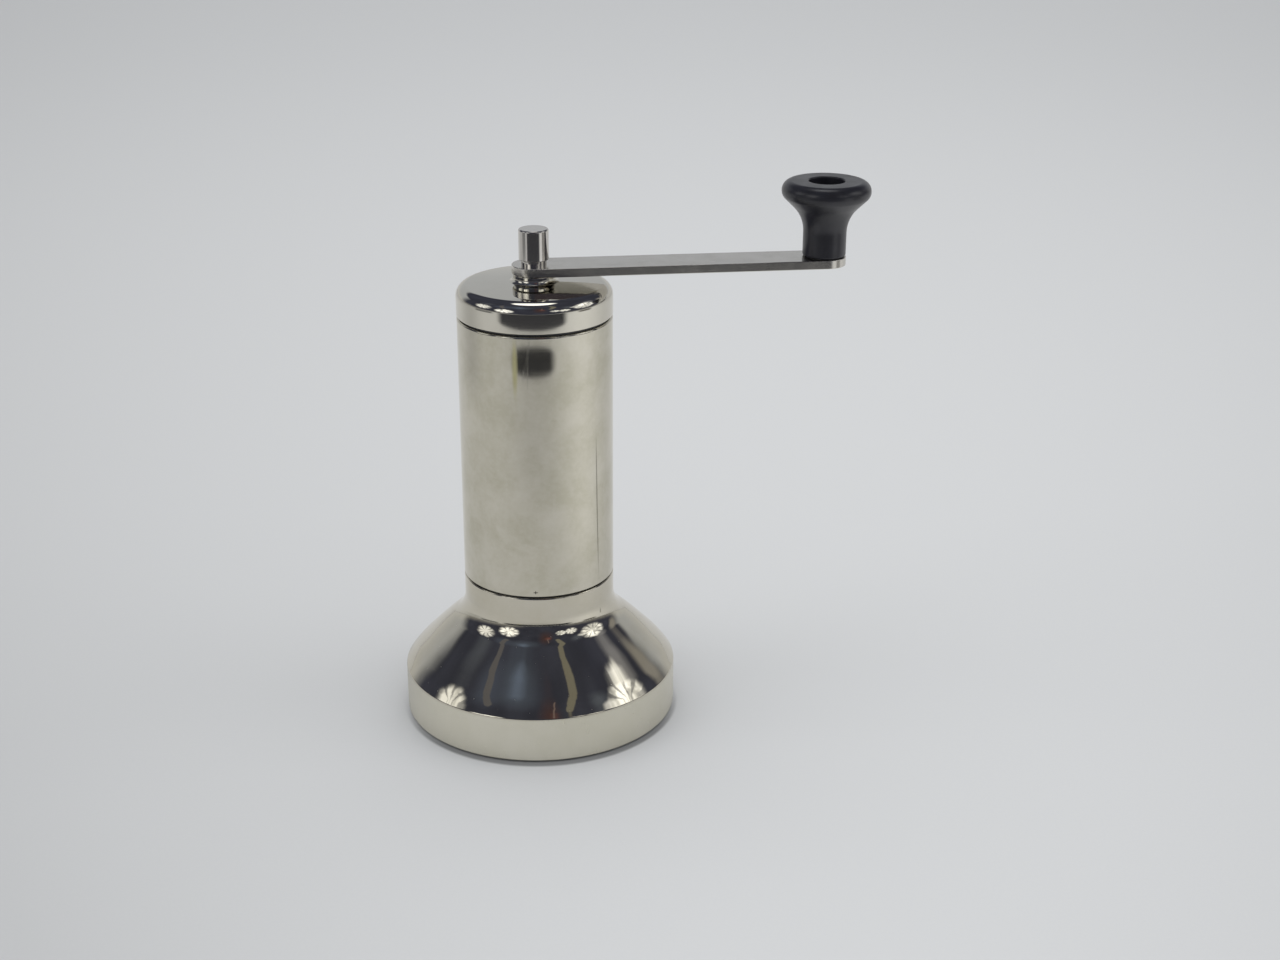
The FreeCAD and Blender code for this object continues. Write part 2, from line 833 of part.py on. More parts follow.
def make_burr_nut():
    """Hexagon nut in the hollow of the inner burr's foot."""
    recess_top = cone_foot + size.nut_recess
    body = new_body("burr_nut", recess_top - size.nut_height)
    side = size.nut_flat / math.sqrt(3)
    sketch = new_sketch(body, "XY_Plane")
    half = size.nut_flat / 2
    draw_outline(sketch, [
        (side, 0),
        (side / 2, half),
        (-side / 2, half),
        (-side, 0),
        (-side / 2, -half),
        (side / 2, -half),
    ])
    draw_circle(sketch, size.spindle_radius + size.press_gap)
    pad(body, sketch, size.nut_height)


def bridge_arm(body, level, width, reach, thick):
    """One arm from the hub to the ring, repeated around."""
    half = width / 2
    sketch = new_sketch(body, "XY_Plane", level)
    draw_outline(sketch, [(-reach, -half), (0, -half), (0, half), (-reach, half)])
    arm = pad(body, sketch, thick)
    return repeat_around(body, [arm], size.bridge_arms)


def make_upper_bridge():
    """Three-armed bridge on the housing that carries the spindle's hub."""
    body = new_body("upper_bridge", housing_top)
    turn_ring(body, funnel_radius, sleeve_radius, 0, size.bridge_thick)
    bridge_arm(body, dim(0), size.bridge_arm, funnel_radius + size.press_gap, size.bridge_thick)
    pad(body, draw_circle(new_sketch(body, "XY_Plane"), size.bearing_radius), size.bearing_height)
    bore = draw_circle(
        new_sketch(body, "XY_Plane", size.bearing_height), size.hub_radius + size.running_gap
    )
    pocket(body, bore, size.bearing_height)
    sketch = new_sketch(body, "XY_Plane", size.bridge_thick)
    draw_circle(sketch, size.screw_radius + size.press_gap, -bridge_screw_ring, 0)
    hole = pocket(body, sketch, size.bridge_thick)
    repeat_around(body, [hole], size.bridge_arms)


def make_lower_bridge():
    """Three-armed bridge under the burrs: journal bearing above, guide for the pin below."""
    body = new_body("lower_bridge", spigot_foot)
    thick = size.lower_thick
    turn_ring(body, lower_ring_bore, spigot_radius, -thick, 0)
    reach = lower_ring_bore + size.press_gap
    bridge_arm(body, -thick, size.bridge_arm, reach, thick)
    hub = draw_circle(new_sketch(body, "XY_Plane"), size.lower_hub_radius)
    pad(body, hub, size.lower_hub_height, downward=True)
    journal = draw_circle(new_sketch(body, "XY_Plane"), size.spindle_radius + size.running_gap)
    pocket(body, journal, size.journal_bore)
    guide = flatted_circle(
        new_sketch(body, "XY_Plane", -size.journal_bore),
        size.pin_radius + size.running_gap,
        size.pin_flat + 2 * size.running_gap,
    )
    pocket(body, guide, size.lower_hub_height - size.journal_bore)
    for ring, radius, depth in (
        (lower_screw_ring, size.screw_radius + size.press_gap, thick),
        (size.keeper_ring, size.screw_radius, size.keeper_screw_grip),
    ):
        sketch = new_sketch(body, "XY_Plane", -thick)
        draw_circle(sketch, radius, -ring, 0)
        hole = pocket(body, sketch, depth, upward=True)
        repeat_around(body, [hole], size.bridge_arms)


def make_screws(name, level, ring, shank, head_down=False):
    """Set of pan-head screws on a ring; the level is where the heads bear."""
    body = new_body(name, level, several=True)
    shank_circle = draw_circle(
        new_sketch(body, "XY_Plane"), size.screw_radius - size.press_gap, -ring, 0
    )
    grip = pad(body, shank_circle, shank, downward=not head_down)
    head_circle = draw_circle(new_sketch(body, "XY_Plane"), size.screw_head_radius, -ring, 0)
    head = pad(body, head_circle, size.screw_head, downward=head_down)
    repeat_around(body, [grip, head], size.bridge_arms)


def make_adjuster_keeper():
    """Plate and posts that hold the adjuster wheel up against the lower bridge."""
    body = new_body("adjuster_keeper", keeper_top)
    thick = size.keeper_thick
    disc = draw_circle(new_sketch(body, "XY_Plane"), size.lower_hub_radius)
    pad(body, disc, thick, downward=True)
    bridge_arm(body, -thick, 2 * size.post_radius, size.keeper_ring, thick)
    post_height = spigot_foot - size.lower_thick - keeper_top
    post = draw_circle(new_sketch(body, "XY_Plane", -thick), size.post_radius, -size.keeper_ring, 0)
    post = pad(body, post, post_height + thick)
    repeat_around(body, [post], size.bridge_arms)
    centre = draw_circle(new_sketch(body, "XY_Plane"), size.pin_radius + 5 * size.running_gap)
    pocket(body, centre, thick)
    sketch = new_sketch(body, "XY_Plane", -thick)
    draw_circle(sketch, size.screw_radius + size.press_gap, -size.keeper_ring, 0)
    hole = pocket(body, sketch, post_height + thick, upward=True)
    repeat_around(body, [hole], size.bridge_arms)


def make_adjuster_wheel():
    """Thumb wheel whose thread moves the thrust pin."""
    body = new_body("adjuster_wheel", wheel_top - size.wheel_thick)
    feature = turn_ring(
        body, size.pin_radius + size.running_gap, size.wheel_radius, 0, size.wheel_thick
    )
    break_rings(body, feature, size.edge_break, [
        (size.wheel_radius, 0),
        (size.wheel_radius, size.wheel_thick),
    ])
    sketch = new_sketch(body, "XY_Plane", size.wheel_thick)
    draw_circle(sketch, size.grip_radius, size.wheel_radius + size.grip_radius / 3, 0)
    grip = pocket(body, sketch, size.wheel_thick)
    repeat_around(body, [grip], size.wheel_grips)


def make_thrust_pin():
    """Threaded pin with two flats, which carries the spindle."""
    body = new_body("thrust_pin", pin_end - size.pin_length)
    sketch = flatted_circle(new_sketch(body, "XY_Plane"), size.pin_radius, size.pin_flat)
    pad(body, sketch, size.pin_length)


def make_spring_washer():
    body = new_body("spring_washer", cone_top)
    inside = size.spindle_radius + size.press_gap
    turn_ring(body, inside, size.washer_rim, 0, size.washer_thick)


def helix_point(angle, pitch, radius):
    x = radius * math.cos(angle)
    y = radius * math.sin(angle)
    return FreeCAD.Vector(x, y, pitch * angle / (2 * math.pi))


def helix_direction(angle, pitch, radius):
    rise = pitch / (2 * math.pi)
    return FreeCAD.Vector(-radius * math.sin(angle), radius * math.cos(angle), rise).normalize()


def tangent_arc(start, direction, finish):
    """Arc that leaves start along a direction and ends at finish."""
    chord = finish - start
    along = FreeCAD.Vector(chord).normalize()
    aside = direction - along * direction.dot(along)
    half_turn = math.atan2(aside.Length, direction.dot(along))
    middle = (start + finish) * 0.5 + aside.normalize() * (chord.Length / 2 * math.tan(half_turn / 2))
    return Part.Arc(start, middle, finish)


def quarter_turn(angle, step, pitch, radius):
    """Two tangent arcs that stand for one stretch of the helix."""
    start = helix_point(angle, pitch, radius)
    finish = helix_point(angle + step, pitch, radius)
    leave = helix_direction(angle, pitch, radius)
    arrive = helix_direction(angle + step, pitch, radius)
    chord = finish - start
    both = leave + arrive
    square_term = both.dot(both) - 4
    linear_term = -2 * chord.dot(both)
    constant = chord.dot(chord)
    root = math.sqrt(linear_term * linear_term - 4 * square_term * constant)
    reach = (-linear_term - root) / (2 * square_term)
    if reach < 0:
        reach = (-linear_term + root) / (2 * square_term)
    joint = (start + leave * reach + finish - arrive * reach) * 0.5
    joint_direction = (finish - arrive * reach - start - leave * reach).normalize()
    return [tangent_arc(start, leave, joint), tangent_arc(joint, joint_direction, finish)]


def make_burr_spring():
    """Open coil between the upper bridge and the washer on the inner burr."""
    foot = (cone_top + size.washer_thick).number + size.wire_radius.number
    head = housing_top.number - size.wire_radius.number
    turns = size.coil_turns.number
    play = size.rest_gap.number
    pitch = (head - foot - 2 * play) / turns
    radius = size.coil_radius.number
    step = math.pi / 2
    arcs = []
    for index in range(round(turns * 4)):
        arcs += quarter_turn(index * step, step, pitch, radius)
    path = Part.Wire([arc.toShape() for arc in arcs])
    start = helix_point(0, pitch, radius)
    ring = Part.Circle(start, helix_direction(0, pitch, radius), size.wire_radius.number)
    shell = Part.BRepOffsetAPI.MakePipeShell(path)
    shell.add(Part.Wire([ring.toShape()]))
    shell.build()
    shell.makeSolid()
    spring = doc.addObject("Part::Feature", "burr_spring")
    spring.Label = "burr_spring"
    spring.Shape = shell.shape()
    spring.Placement = FreeCAD.Placement(FreeCAD.Vector(0, 0, foot + play), FreeCAD.Rotation())
    subparts.append(spring)
    samples = 48
    points = path.discretize(Number=round(turns * samples) + 1)
    gaps = [
        one.distanceToPoint(other)
        for index, one in enumerate(points)
        for other in points[index + samples // 2:]
    ]
    print("burr_spring least gap to itself:", round(min(gaps) - 2 * size.wire_radius.number, 3))


# Lid


def make_lid_shell():
    """Turned cap: low dome, rounded shoulder and a boss for the crank's bearing."""
    body = new_body("lid_shell", lid_edge)
    inside = lid_radius - size.lid_wall
    dome = size.dome_radius
    dome_centre = size.lid_height - square_root(dome * dome - lid_radius * lid_radius)
    boss_foot = dome_centre + square_root(dome * dome - size.boss_radius * size.boss_radius)
    bore = size.bush_radius + size.press_gap
    feature = turn_solid(body, [
        (inside, 0),
        (lid_radius, 0),
        (lid_radius, size.lid_height, dome),
        (size.boss_radius, boss_foot),
        (size.boss_radius, size.boss_height),
        (bore, size.boss_height),
        (bore, size.ceiling),
        (inside - size.lid_bevel, size.ceiling),
        (inside, size.ceiling - size.lid_bevel),
    ])
    feature = round_rings(body, feature, size.lid_round, [(lid_radius, size.lid_height)])
    feature = round_rings(body, feature, size.boss_fillet, [(size.boss_radius, boss_foot)])
    break_rings(body, feature, size.edge_break, [
        (lid_radius, 0),
        (size.boss_radius, size.boss_height),
    ])


def make_lid_plug():
    """Ring pressed into the lid: its flange shows in the groove, its skirt enters the tube."""
    body = new_body("lid_plug", lid_rest)
    upper = lid_radius - size.lid_wall - size.press_gap
    flange = size.tube_radius - size.groove_recess
    top = size.groove_height + size.plug_rise
    feature = turn_solid(body, [
        (plug_bore, -size.plug_depth),
        (plug_radius, -size.plug_depth),
        (plug_radius, 0),
        (flange, 0),
        (flange, size.groove_height),
        (upper, size.groove_height),
        (upper, top),
        (plug_bore, top),
    ])
    break_rings(body, feature, size.edge_break, [(plug_radius, -size.plug_depth)])
    groove_floor = plug_radius - size.seal_groove
    half = size.seal_radius + size.seal_play
    turn_groove(body, [
        (groove_floor, -size.plug_seal_level - half),
        (plug_radius + size.cut_past, -size.plug_seal_level - half),
        (plug_radius + size.cut_past, -size.plug_seal_level + half),
        (groove_floor, -size.plug_seal_level + half),
    ])


def make_lid_bush():
    """Bearing bush of the crank shaft, flanged against the lid's inside."""
    body = new_body("lid_bush", bush_foot)
    bore = size.bearing_shaft_radius + size.running_gap
    flange_top = size.bush_foot + size.bush_flange
    top = flange_top + size.boss_height - size.ceiling - size.rest_gap
    turn_solid(body, [
        (bore, 0),
        (size.bush_foot_radius, 0),
        (size.bush_foot_radius, size.bush_foot),
        (size.bush_flange_radius, size.bush_foot),
        (size.bush_flange_radius, flange_top),
        (size.bush_radius, flange_top),
        (size.bush_radius, top),
        (bore, top),
    ])


# Crank


def make_drive_shaft():
    """Long shaft of the crank: square foot for the spindle's socket, square head for the arm."""
    bottom = spigot_foot + size.shaft_bottom
    body = new_body("drive_shaft", bottom)
    shoulder = arm_level - bottom
    bearing_foot = shoulder - size.bearing_shaft_length
    head = shoulder + size.arm_thick
    top = head + size.thread_length
    feature = turn_solid(body, [
        (0, 0),
        (size.shaft_radius, 0),
        (size.shaft_radius, bearing_foot),
        (size.bearing_shaft_radius, bearing_foot),
        (size.bearing_shaft_radius, head),
        (size.thread_radius, head),
        (size.thread_radius, top),
        (0, top),
    ])
    break_rings(body, feature, size.edge_break, [(size.shaft_radius, 0), (size.thread_radius, top)])
    clip_top = bush_foot - bottom - size.clip_level + size.clip_thick
    clip_floor = size.bearing_shaft_radius - size.clip_groove
    turn_groove(body, [
        (clip_floor, clip_top - size.clip_thick),
        (size.bearing_shaft_radius + size.cut_past, clip_top - size.clip_thick),
        (size.bearing_shaft_radius + size.cut_past, clip_top),
        (clip_floor, clip_top),
    ])
    for level, length, across in (
        (size.drive_length, size.drive_length, size.drive_square),
        (head, size.arm_thick, size.arm_square),
    ):
        sketch = new_sketch(body, "XY_Plane", level)
        draw_circle(sketch, size.bearing_shaft_radius + size.cut_past)
        square(sketch, across)
        pocket(body, sketch, length)


def make_shaft_washer():
    level = bush_foot - size.rest_gap - size.shaft_washer_thick
    body = new_body("shaft_washer", level)
    inside = size.bearing_shaft_radius + size.press_gap
    turn_ring(body, inside, size.shaft_washer_radius, 0, size.shaft_washer_thick)


def make_shaft_clip():
    """Open retaining ring in the shaft's groove."""
    body = new_body("shaft_clip", bush_foot - size.clip_level)
    inside = size.bearing_shaft_radius - size.clip_groove + size.press_gap
    thick = size.clip_thick - size.press_gap
    turn_ring(body, inside, size.clip_radius, 0, thick)
    half = size.clip_mouth / 2
    reach = size.clip_radius + size.cut_past
    sketch = new_sketch(body, "XY_Plane", thick)
    draw_outline(sketch, [(0, -half), (reach, -half), (reach, half), (0, half)])
    pocket(body, sketch, thick)


def make_crank_arm():
    """Flat bar with round ends, its edges eased."""
    body = new_body("crank_arm", arm_level)
    half = size.arm_width / 2
    reach = size.arm_reach
    sketch = new_sketch(body, "XY_Plane")
    draw_outline(sketch, [(0, -half), (reach, -half, half), (reach, half), (0, half, half)])
    draw_circle(sketch, size.pin_shank_radius + size.press_gap, reach, 0)
    feature = pad(body, sketch, size.arm_thick)
    outer = []
    for index, edge in enumerate(feature.Shape.Edges, start=1):
        centre = edge.CenterOfMass
        from_bore = centre.distanceToPoint(FreeCAD.Vector(reach.number, 0, centre.z))
        level = edge.BoundBox.ZLength < SMALL
        if level and from_bore > size.pin_shank_radius.number:
            outer.append(f"Edge{index}")
    soften(body, feature, "Chamfer", size.arm_edge, outer)
    socket = square(
        new_sketch(body, "XY_Plane", size.arm_thick), size.arm_square + size.socket_gap
    )
    pocket(body, socket, size.arm_thick)


def make_cap_nut():
    """Tall round nut that holds the arm, undercut at its foot."""
    body = new_body("cap_nut", arm_top)
    bore = size.thread_radius + size.press_gap
    feature = turn_solid(body, [
        (bore, 0),
        (size.cap_neck_radius, 0),
        (size.cap_neck_radius, size.cap_neck),
        (size.cap_radius, size.cap_neck),
        (size.cap_radius, size.cap_height),
        (0, size.cap_height),
        (0, size.cap_bore),
        (bore, size.cap_bore),
    ])
    break_rings(body, feature, size.cap_edge, [(size.cap_radius, size.cap_height)])


def make_knob_pin():
    """Shoulder screw that the knob turns on, riveted into the arm."""
    body = new_body("knob_pin", arm_level)
    shoulder_top = knob_level + size.knob_floor + size.rest_gap - arm_level
    top = shoulder_top + size.head_thick
    bind(body, "Placement.Base.x", size.arm_reach)
    feature = turn_solid(body, [
        (0, 0),
        (size.pin_shank_radius, 0),
        (size.pin_shank_radius, size.arm_thick),
        (size.shoulder_radius, size.arm_thick),
        (size.shoulder_radius, shoulder_top),
        (size.head_radius, shoulder_top),
        (size.head_radius, top),
        (0, top),
    ])
    break_rings(body, feature, size.edge_break, [(size.head_radius, top)])
    across = size.head_recess_radius * math.sqrt(3)
    side = size.head_recess_radius
    recess = new_sketch(body, "XY_Plane", top)
    half = across / 2
    draw_outline(recess, [
        (side, 0),
        (side / 2, half),
        (-side / 2, half),
        (-side, 0),
        (-side / 2, -half),
        (side / 2, -half),
    ])
    pocket(body, recess, size.head_recess)


def make_knob_washer():
    body = new_body("knob_washer", arm_top)
    bind(body, "Placement.Base.x", size.arm_reach)
    inside = size.shoulder_radius + size.press_gap
    turn_ring(body, inside, size.knob_washer_radius, 0, size.knob_washer_thick)


def make_knob():
    """Trumpet-shaped knob with a wide mouth for its screw."""
    body = new_body("knob", knob_level)
    bind(body, "Placement.Base.x", size.arm_reach)
    bore = size.shoulder_radius + size.running_gap
    flare_rise = (size.knob_radius - size.knob_neck_radius) * tangent(size.knob_angle)
    rim_foot = size.knob_neck + flare_rise
    feature = turn_solid(body, [
        (bore, 0),
        (size.knob_neck_radius, 0),
        (size.knob_neck_radius, size.knob_neck),
        (size.knob_radius, rim_foot),
        (size.knob_radius, size.knob_height),
        (size.knob_mouth_radius, size.knob_height),
        (size.knob_mouth_radius, size.knob_floor),
        (bore, size.knob_floor),
    ])
    feature = round_rings(body, feature, size.knob_flare, [(size.knob_neck_radius, size.knob_neck)])
    feature = round_rings(body, feature, size.knob_rim_round, [(size.knob_radius, rim_foot)])
    top_edge = [(size.knob_radius, size.knob_height)]
    feature = round_rings(body, feature, size.knob_top_round, top_edge)
    round_rings(body, feature, size.knob_edge, [
        (size.knob_neck_radius, 0),
        (size.knob_mouth_radius, size.knob_height),
    ])


def seal_ring(outside):
    """Centre radius of an O-ring that lies in a groove of a piece of this outside radius."""
    return outside - size.seal_groove + size.seal_radius + size.press_gap / 2


def make_mill():
    make_sheet()
    make_base_shell()
    make_base_collar()
    make_base_bottom()
    make_foot_pad()
    make_body_tube()
    make_burr_housing()
    make_seal("spigot_seal", seam - size.seal_level, seal_ring(spigot_radius))
    make_outer_burr()
    make_upper_bridge()
    bridge_shank = size.bridge_thick + size.screw_grip - size.rest_gap
    bridge_level = housing_top + size.bridge_thick
    make_screws("upper_bridge_screws", bridge_level, bridge_screw_ring, bridge_shank)
    make_lower_bridge()
    lower_shank = size.lower_thick + size.lower_grip - size.rest_gap
    lower_level = spigot_foot - size.lower_thick
    make_screws("lower_bridge_screws", lower_level, lower_screw_ring, lower_shank, True)
    make_adjuster_keeper()
    keeper_foot = keeper_top - size.keeper_thick
    keeper_shank = lower_level - keeper_foot + size.keeper_screw_grip - size.rest_gap
    make_screws("keeper_screws", keeper_foot, size.keeper_ring, keeper_shank, True)
    make_adjuster_wheel()
    make_thrust_pin()
    make_inner_burr()
    make_burr_spindle()
    make_burr_nut()
    make_spring_washer()
    make_burr_spring()
    make_lid_shell()
    make_lid_plug()
    make_seal("lid_seal", lid_rest - size.plug_seal_level, seal_ring(plug_radius))
    make_lid_bush()
    make_drive_shaft()
    make_shaft_washer()
    make_shaft_clip()
    make_crank_arm()
    make_cap_nut()
    make_knob_pin()
    make_knob_washer()
    make_knob()
    doc.recompute()


def check_mill():
    """Stop if any feature failed or any sub-part has no valid solid."""
    for item in doc.Objects:
        if {"Invalid", "Error"} & set(item.State):
            raise RuntimeError(f"{item.Name} failed: {item.State}")
    for item in subparts:
        shape = item.Shape
        if shape.isNull() or not shape.isValid() or not shape.Solids:
            raise RuntimeError(f"{item.Label} has no valid solid")


def write_mill():
    """Write each sub-part to a file named after its label."""
    os.makedirs("parts", exist_ok=True)
    for item in subparts:
        item.Shape.exportStep(f"parts/{item.Label}.step")
        box = item.Shape.BoundBox
        print(f"{item.Label:20} solids {len(item.Shape.Solids)}  z {box.ZMin:8.2f} {box.ZMax:8.2f}")


make_mill()
check_mill()
write_mill()
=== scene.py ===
import json
import math

import bpy
import numpy as np
from mathutils import Matrix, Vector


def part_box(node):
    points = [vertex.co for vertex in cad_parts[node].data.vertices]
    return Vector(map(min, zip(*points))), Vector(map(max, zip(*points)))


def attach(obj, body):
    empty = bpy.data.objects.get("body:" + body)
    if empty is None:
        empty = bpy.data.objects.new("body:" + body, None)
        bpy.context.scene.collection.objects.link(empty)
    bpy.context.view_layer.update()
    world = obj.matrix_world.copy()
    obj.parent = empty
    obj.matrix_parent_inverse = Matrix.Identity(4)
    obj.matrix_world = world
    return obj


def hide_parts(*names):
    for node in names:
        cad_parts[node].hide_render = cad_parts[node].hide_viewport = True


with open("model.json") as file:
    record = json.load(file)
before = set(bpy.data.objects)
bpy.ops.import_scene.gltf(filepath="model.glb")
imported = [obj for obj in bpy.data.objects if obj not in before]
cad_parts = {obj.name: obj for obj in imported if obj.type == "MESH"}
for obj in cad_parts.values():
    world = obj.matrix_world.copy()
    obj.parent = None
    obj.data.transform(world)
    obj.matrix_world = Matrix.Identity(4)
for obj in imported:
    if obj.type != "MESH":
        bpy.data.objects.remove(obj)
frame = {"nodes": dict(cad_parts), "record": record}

# Spice mill of polished steel: flared base, straight tube, domed lid, flat crank and black knob.
# Metres and degrees. Places come from the frame, mm turns the sizes below into metres.

mm = 0.001
scene = bpy.context.scene
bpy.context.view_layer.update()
nodes = frame["nodes"]


# Camera, at the eye of the photograph

cameraView = {
    "place": (-0.0419, -0.5879, 0.3178),
    "yaw": 7.505,      # towards +X
    "pitch": 21.680,   # downwards
    "roll": 0.270,
    "lens": 51.70,     # mm, on a sensor of this width
    "sensor": 36.0,
    "nearest": 0.01,
}


def makeCamera(view):
    # Forward from yaw and pitch, right level and square to it, up square to both, then rolled.
    yaw, pitch, roll = (math.radians(view[name]) for name in ("yaw", "pitch", "roll"))
    forward = np.array([math.sin(yaw) * math.cos(pitch), math.cos(yaw) * math.cos(pitch), -math.sin(pitch)])
    right = np.array([math.cos(yaw), -math.sin(yaw), 0.0])
    up = np.cross(right, forward)
    rolledRight = math.cos(roll) * right + math.sin(roll) * up
    rolledUp = math.cos(roll) * up - math.sin(roll) * right
    data = bpy.data.cameras.new("photoCamera")
    data.sensor_width = view["sensor"]
    data.lens = view["lens"]
    data.clip_start = view["nearest"]
    camera = bpy.data.objects.new("photoCamera", data)
    turn = np.stack([rolledRight, rolledUp, -forward], axis=1)
    camera.matrix_world = Matrix.Translation(view["place"]) @ Matrix(turn.tolist()).to_4x4()
    scene.collection.objects.link(camera)
    scene.camera = camera


makeCamera(cameraView)
print("camera ready")


# Surfaces worked out with numpy

surface = {
    "around": 256,       # steps round an axis
    "arcSteps": 12,      # steps of a rounded corner
    "longest": 2.5,      # longest straight step of an outline, mm
    "smallest": 1e-6,    # what counts as nothing, mm
    "barSteps": 48,      # steps of a half circle of the arm
    "barEdgeSteps": 6,   # steps of its rounded edge
}


def unit(vector):
    return vector / np.linalg.norm(vector)


def roundedOutline(corners, closed):
    # Outline of (radius, height) points in mm. Straight runs join the corners, and a corner with a third
    # value becomes an arc of that radius, tangent to both runs: centre on the bisector at radius / sin(half
    # angle), points turned evenly from one tangent point to the other. A run's normal is to the right of
    # its direction, and an arc's normal points away from or towards its centre.
    count = len(corners)
    places = [np.array(corner[:2], float) for corner in corners]
    starts, startNormals, endNormals = [], [], []

    def addPoints(points, normals):
        starts.append(points[:-1])
        startNormals.append(normals[:-1])
        endNormals.append(normals[1:])

    def cornerArc(index):
        point = places[index]
        radius = corners[index][2] if len(corners[index]) > 2 else 0.0
        if radius == 0 or (not closed and index in (0, count - 1)):
            return point[None], None
        before, after = unit(places[index - 1] - point), unit(places[(index + 1) % count] - point)
        half = math.acos(np.clip(before @ after, -1, 1)) / 2
        centre = point + unit(before + after) * radius / math.sin(half)
        first = point + before * radius / math.tan(half) - centre
        last = point + after * radius / math.tan(half) - centre
        sweep = math.pi - 2 * half
        share = np.linspace(0, 1, surface["arcSteps"] + 1)[:, None]
        spokes = (np.sin((1 - share) * sweep) * first + np.sin(share * sweep) * last) / math.sin(sweep)
        side = -before[1] * after[0] + before[0] * after[1]
        return centre + spokes, spokes / radius * (1 if side < 0 else -1)

    arcs = [cornerArc(index) for index in range(count)]
    for index, (points, normals) in enumerate(arcs):
        if normals is not None:
            addPoints(points, normals)
        if closed or index < count - 1:
            here = points[-1]
            run = arcs[(index + 1) % count][0][0] - here
            length = np.linalg.norm(run)
            if length > surface["smallest"]:
                steps = max(1, math.ceil(length / surface["longest"]))
                points = here + run * np.linspace(0, 1, steps + 1)[:, None]
                addPoints(points, np.tile(np.array([run[1], -run[0]]) / length, (steps + 1, 1)))
    outline = np.concatenate(starts)
    if not closed:
        outline = np.concatenate([outline, arcs[-1][0][-1:]])
    return outline, np.concatenate(startNormals), np.concatenate(endNormals)


def turnedPiece(name, corners, closed=True, axis=0.0, around=None):
    # Surface of revolution: the point at outline step i and turn t is (r_i cos t, r_i sin t, z_i), and a
    # point on the axis closes into a fan. Corner normals are the outline's own, turned by the same angle.
    around = around or surface["around"]
    outline, startNormals, endNormals = roundedOutline(corners, closed)
    rows = len(outline)
    step = np.arange(around)
    nextStep = (step + 1) % around
    turn = step * 2 * np.pi / around
    spoke = np.stack([np.cos(turn), np.sin(turn)], axis=1)

    def turned(flat, steps):
        made = np.empty((len(flat), around, 3))
        made[..., :2] = flat[:, None, :1] * spoke[steps][None]
        made[..., 2] = flat[:, None, 1]
        return made

    onAxis = outline[:, 0] < surface["smallest"]
    rowStart = np.concatenate([[0], np.cumsum(np.where(onAxis, 1, around))[:-1]])
    grid = rowStart[:, None] + np.where(onAxis[:, None], 0, step[None])
    firstUse = np.unique(grid.ravel(), return_index=True)[1]
    vertices = turned(outline, step).reshape(-1, 3)[firstUse] * mm
    vertices[:, 0] += axis
    low = np.arange(len(startNormals))
    high = (low + 1) % rows
    loops, normals, sizes = [], [], []
    # a band with one edge on the axis loses the corner that would repeat
    for kept, keptCorners in ((~onAxis[low] & ~onAxis[high], (0, 1, 2, 3)),
                              (onAxis[low] & ~onAxis[high], (0, 2, 3)),
                              (~onAxis[low] & onAxis[high], (0, 1, 2))):
        band, top = low[kept], high[kept]
        allCorners = ((band, step, startNormals), (band, nextStep, startNormals),
                      (top, nextStep, endNormals), (top, step, endNormals))
        used = [allCorners[index] for index in keptCorners]
        loops.append(np.stack([grid[row][:, steps] for row, steps, _ in used], axis=-1).reshape(-1))
        directions = [turned(table[band], steps) for _, steps, table in used]
        normals.append(np.stack(directions, axis=-2).reshape(-1, 3))
        sizes.append(np.full(len(band) * around, len(keptCorners)))
    loops, normals, sizes = np.concatenate(loops), np.concatenate(normals), np.concatenate(sizes)
    return meshPiece(name, vertices, loops, sizes, normals)


def meshPiece(name, vertices, corners, sizes, normals):
    # Faces of mixed sizes with a normal for each of their corners.
    mesh = bpy.data.meshes.new(name)
    mesh.from_pydata(vertices, [], np.split(corners, np.cumsum(sizes)[:-1]))
    mesh.polygons.foreach_set("use_smooth", np.ones(len(sizes), bool))
    mesh.normals_split_custom_set(normals / np.linalg.norm(normals, axis=1)[:, None])
    mesh.update()
    piece = bpy.data.objects.new(name, mesh)
    scene.collection.objects.link(piece)
    return piece


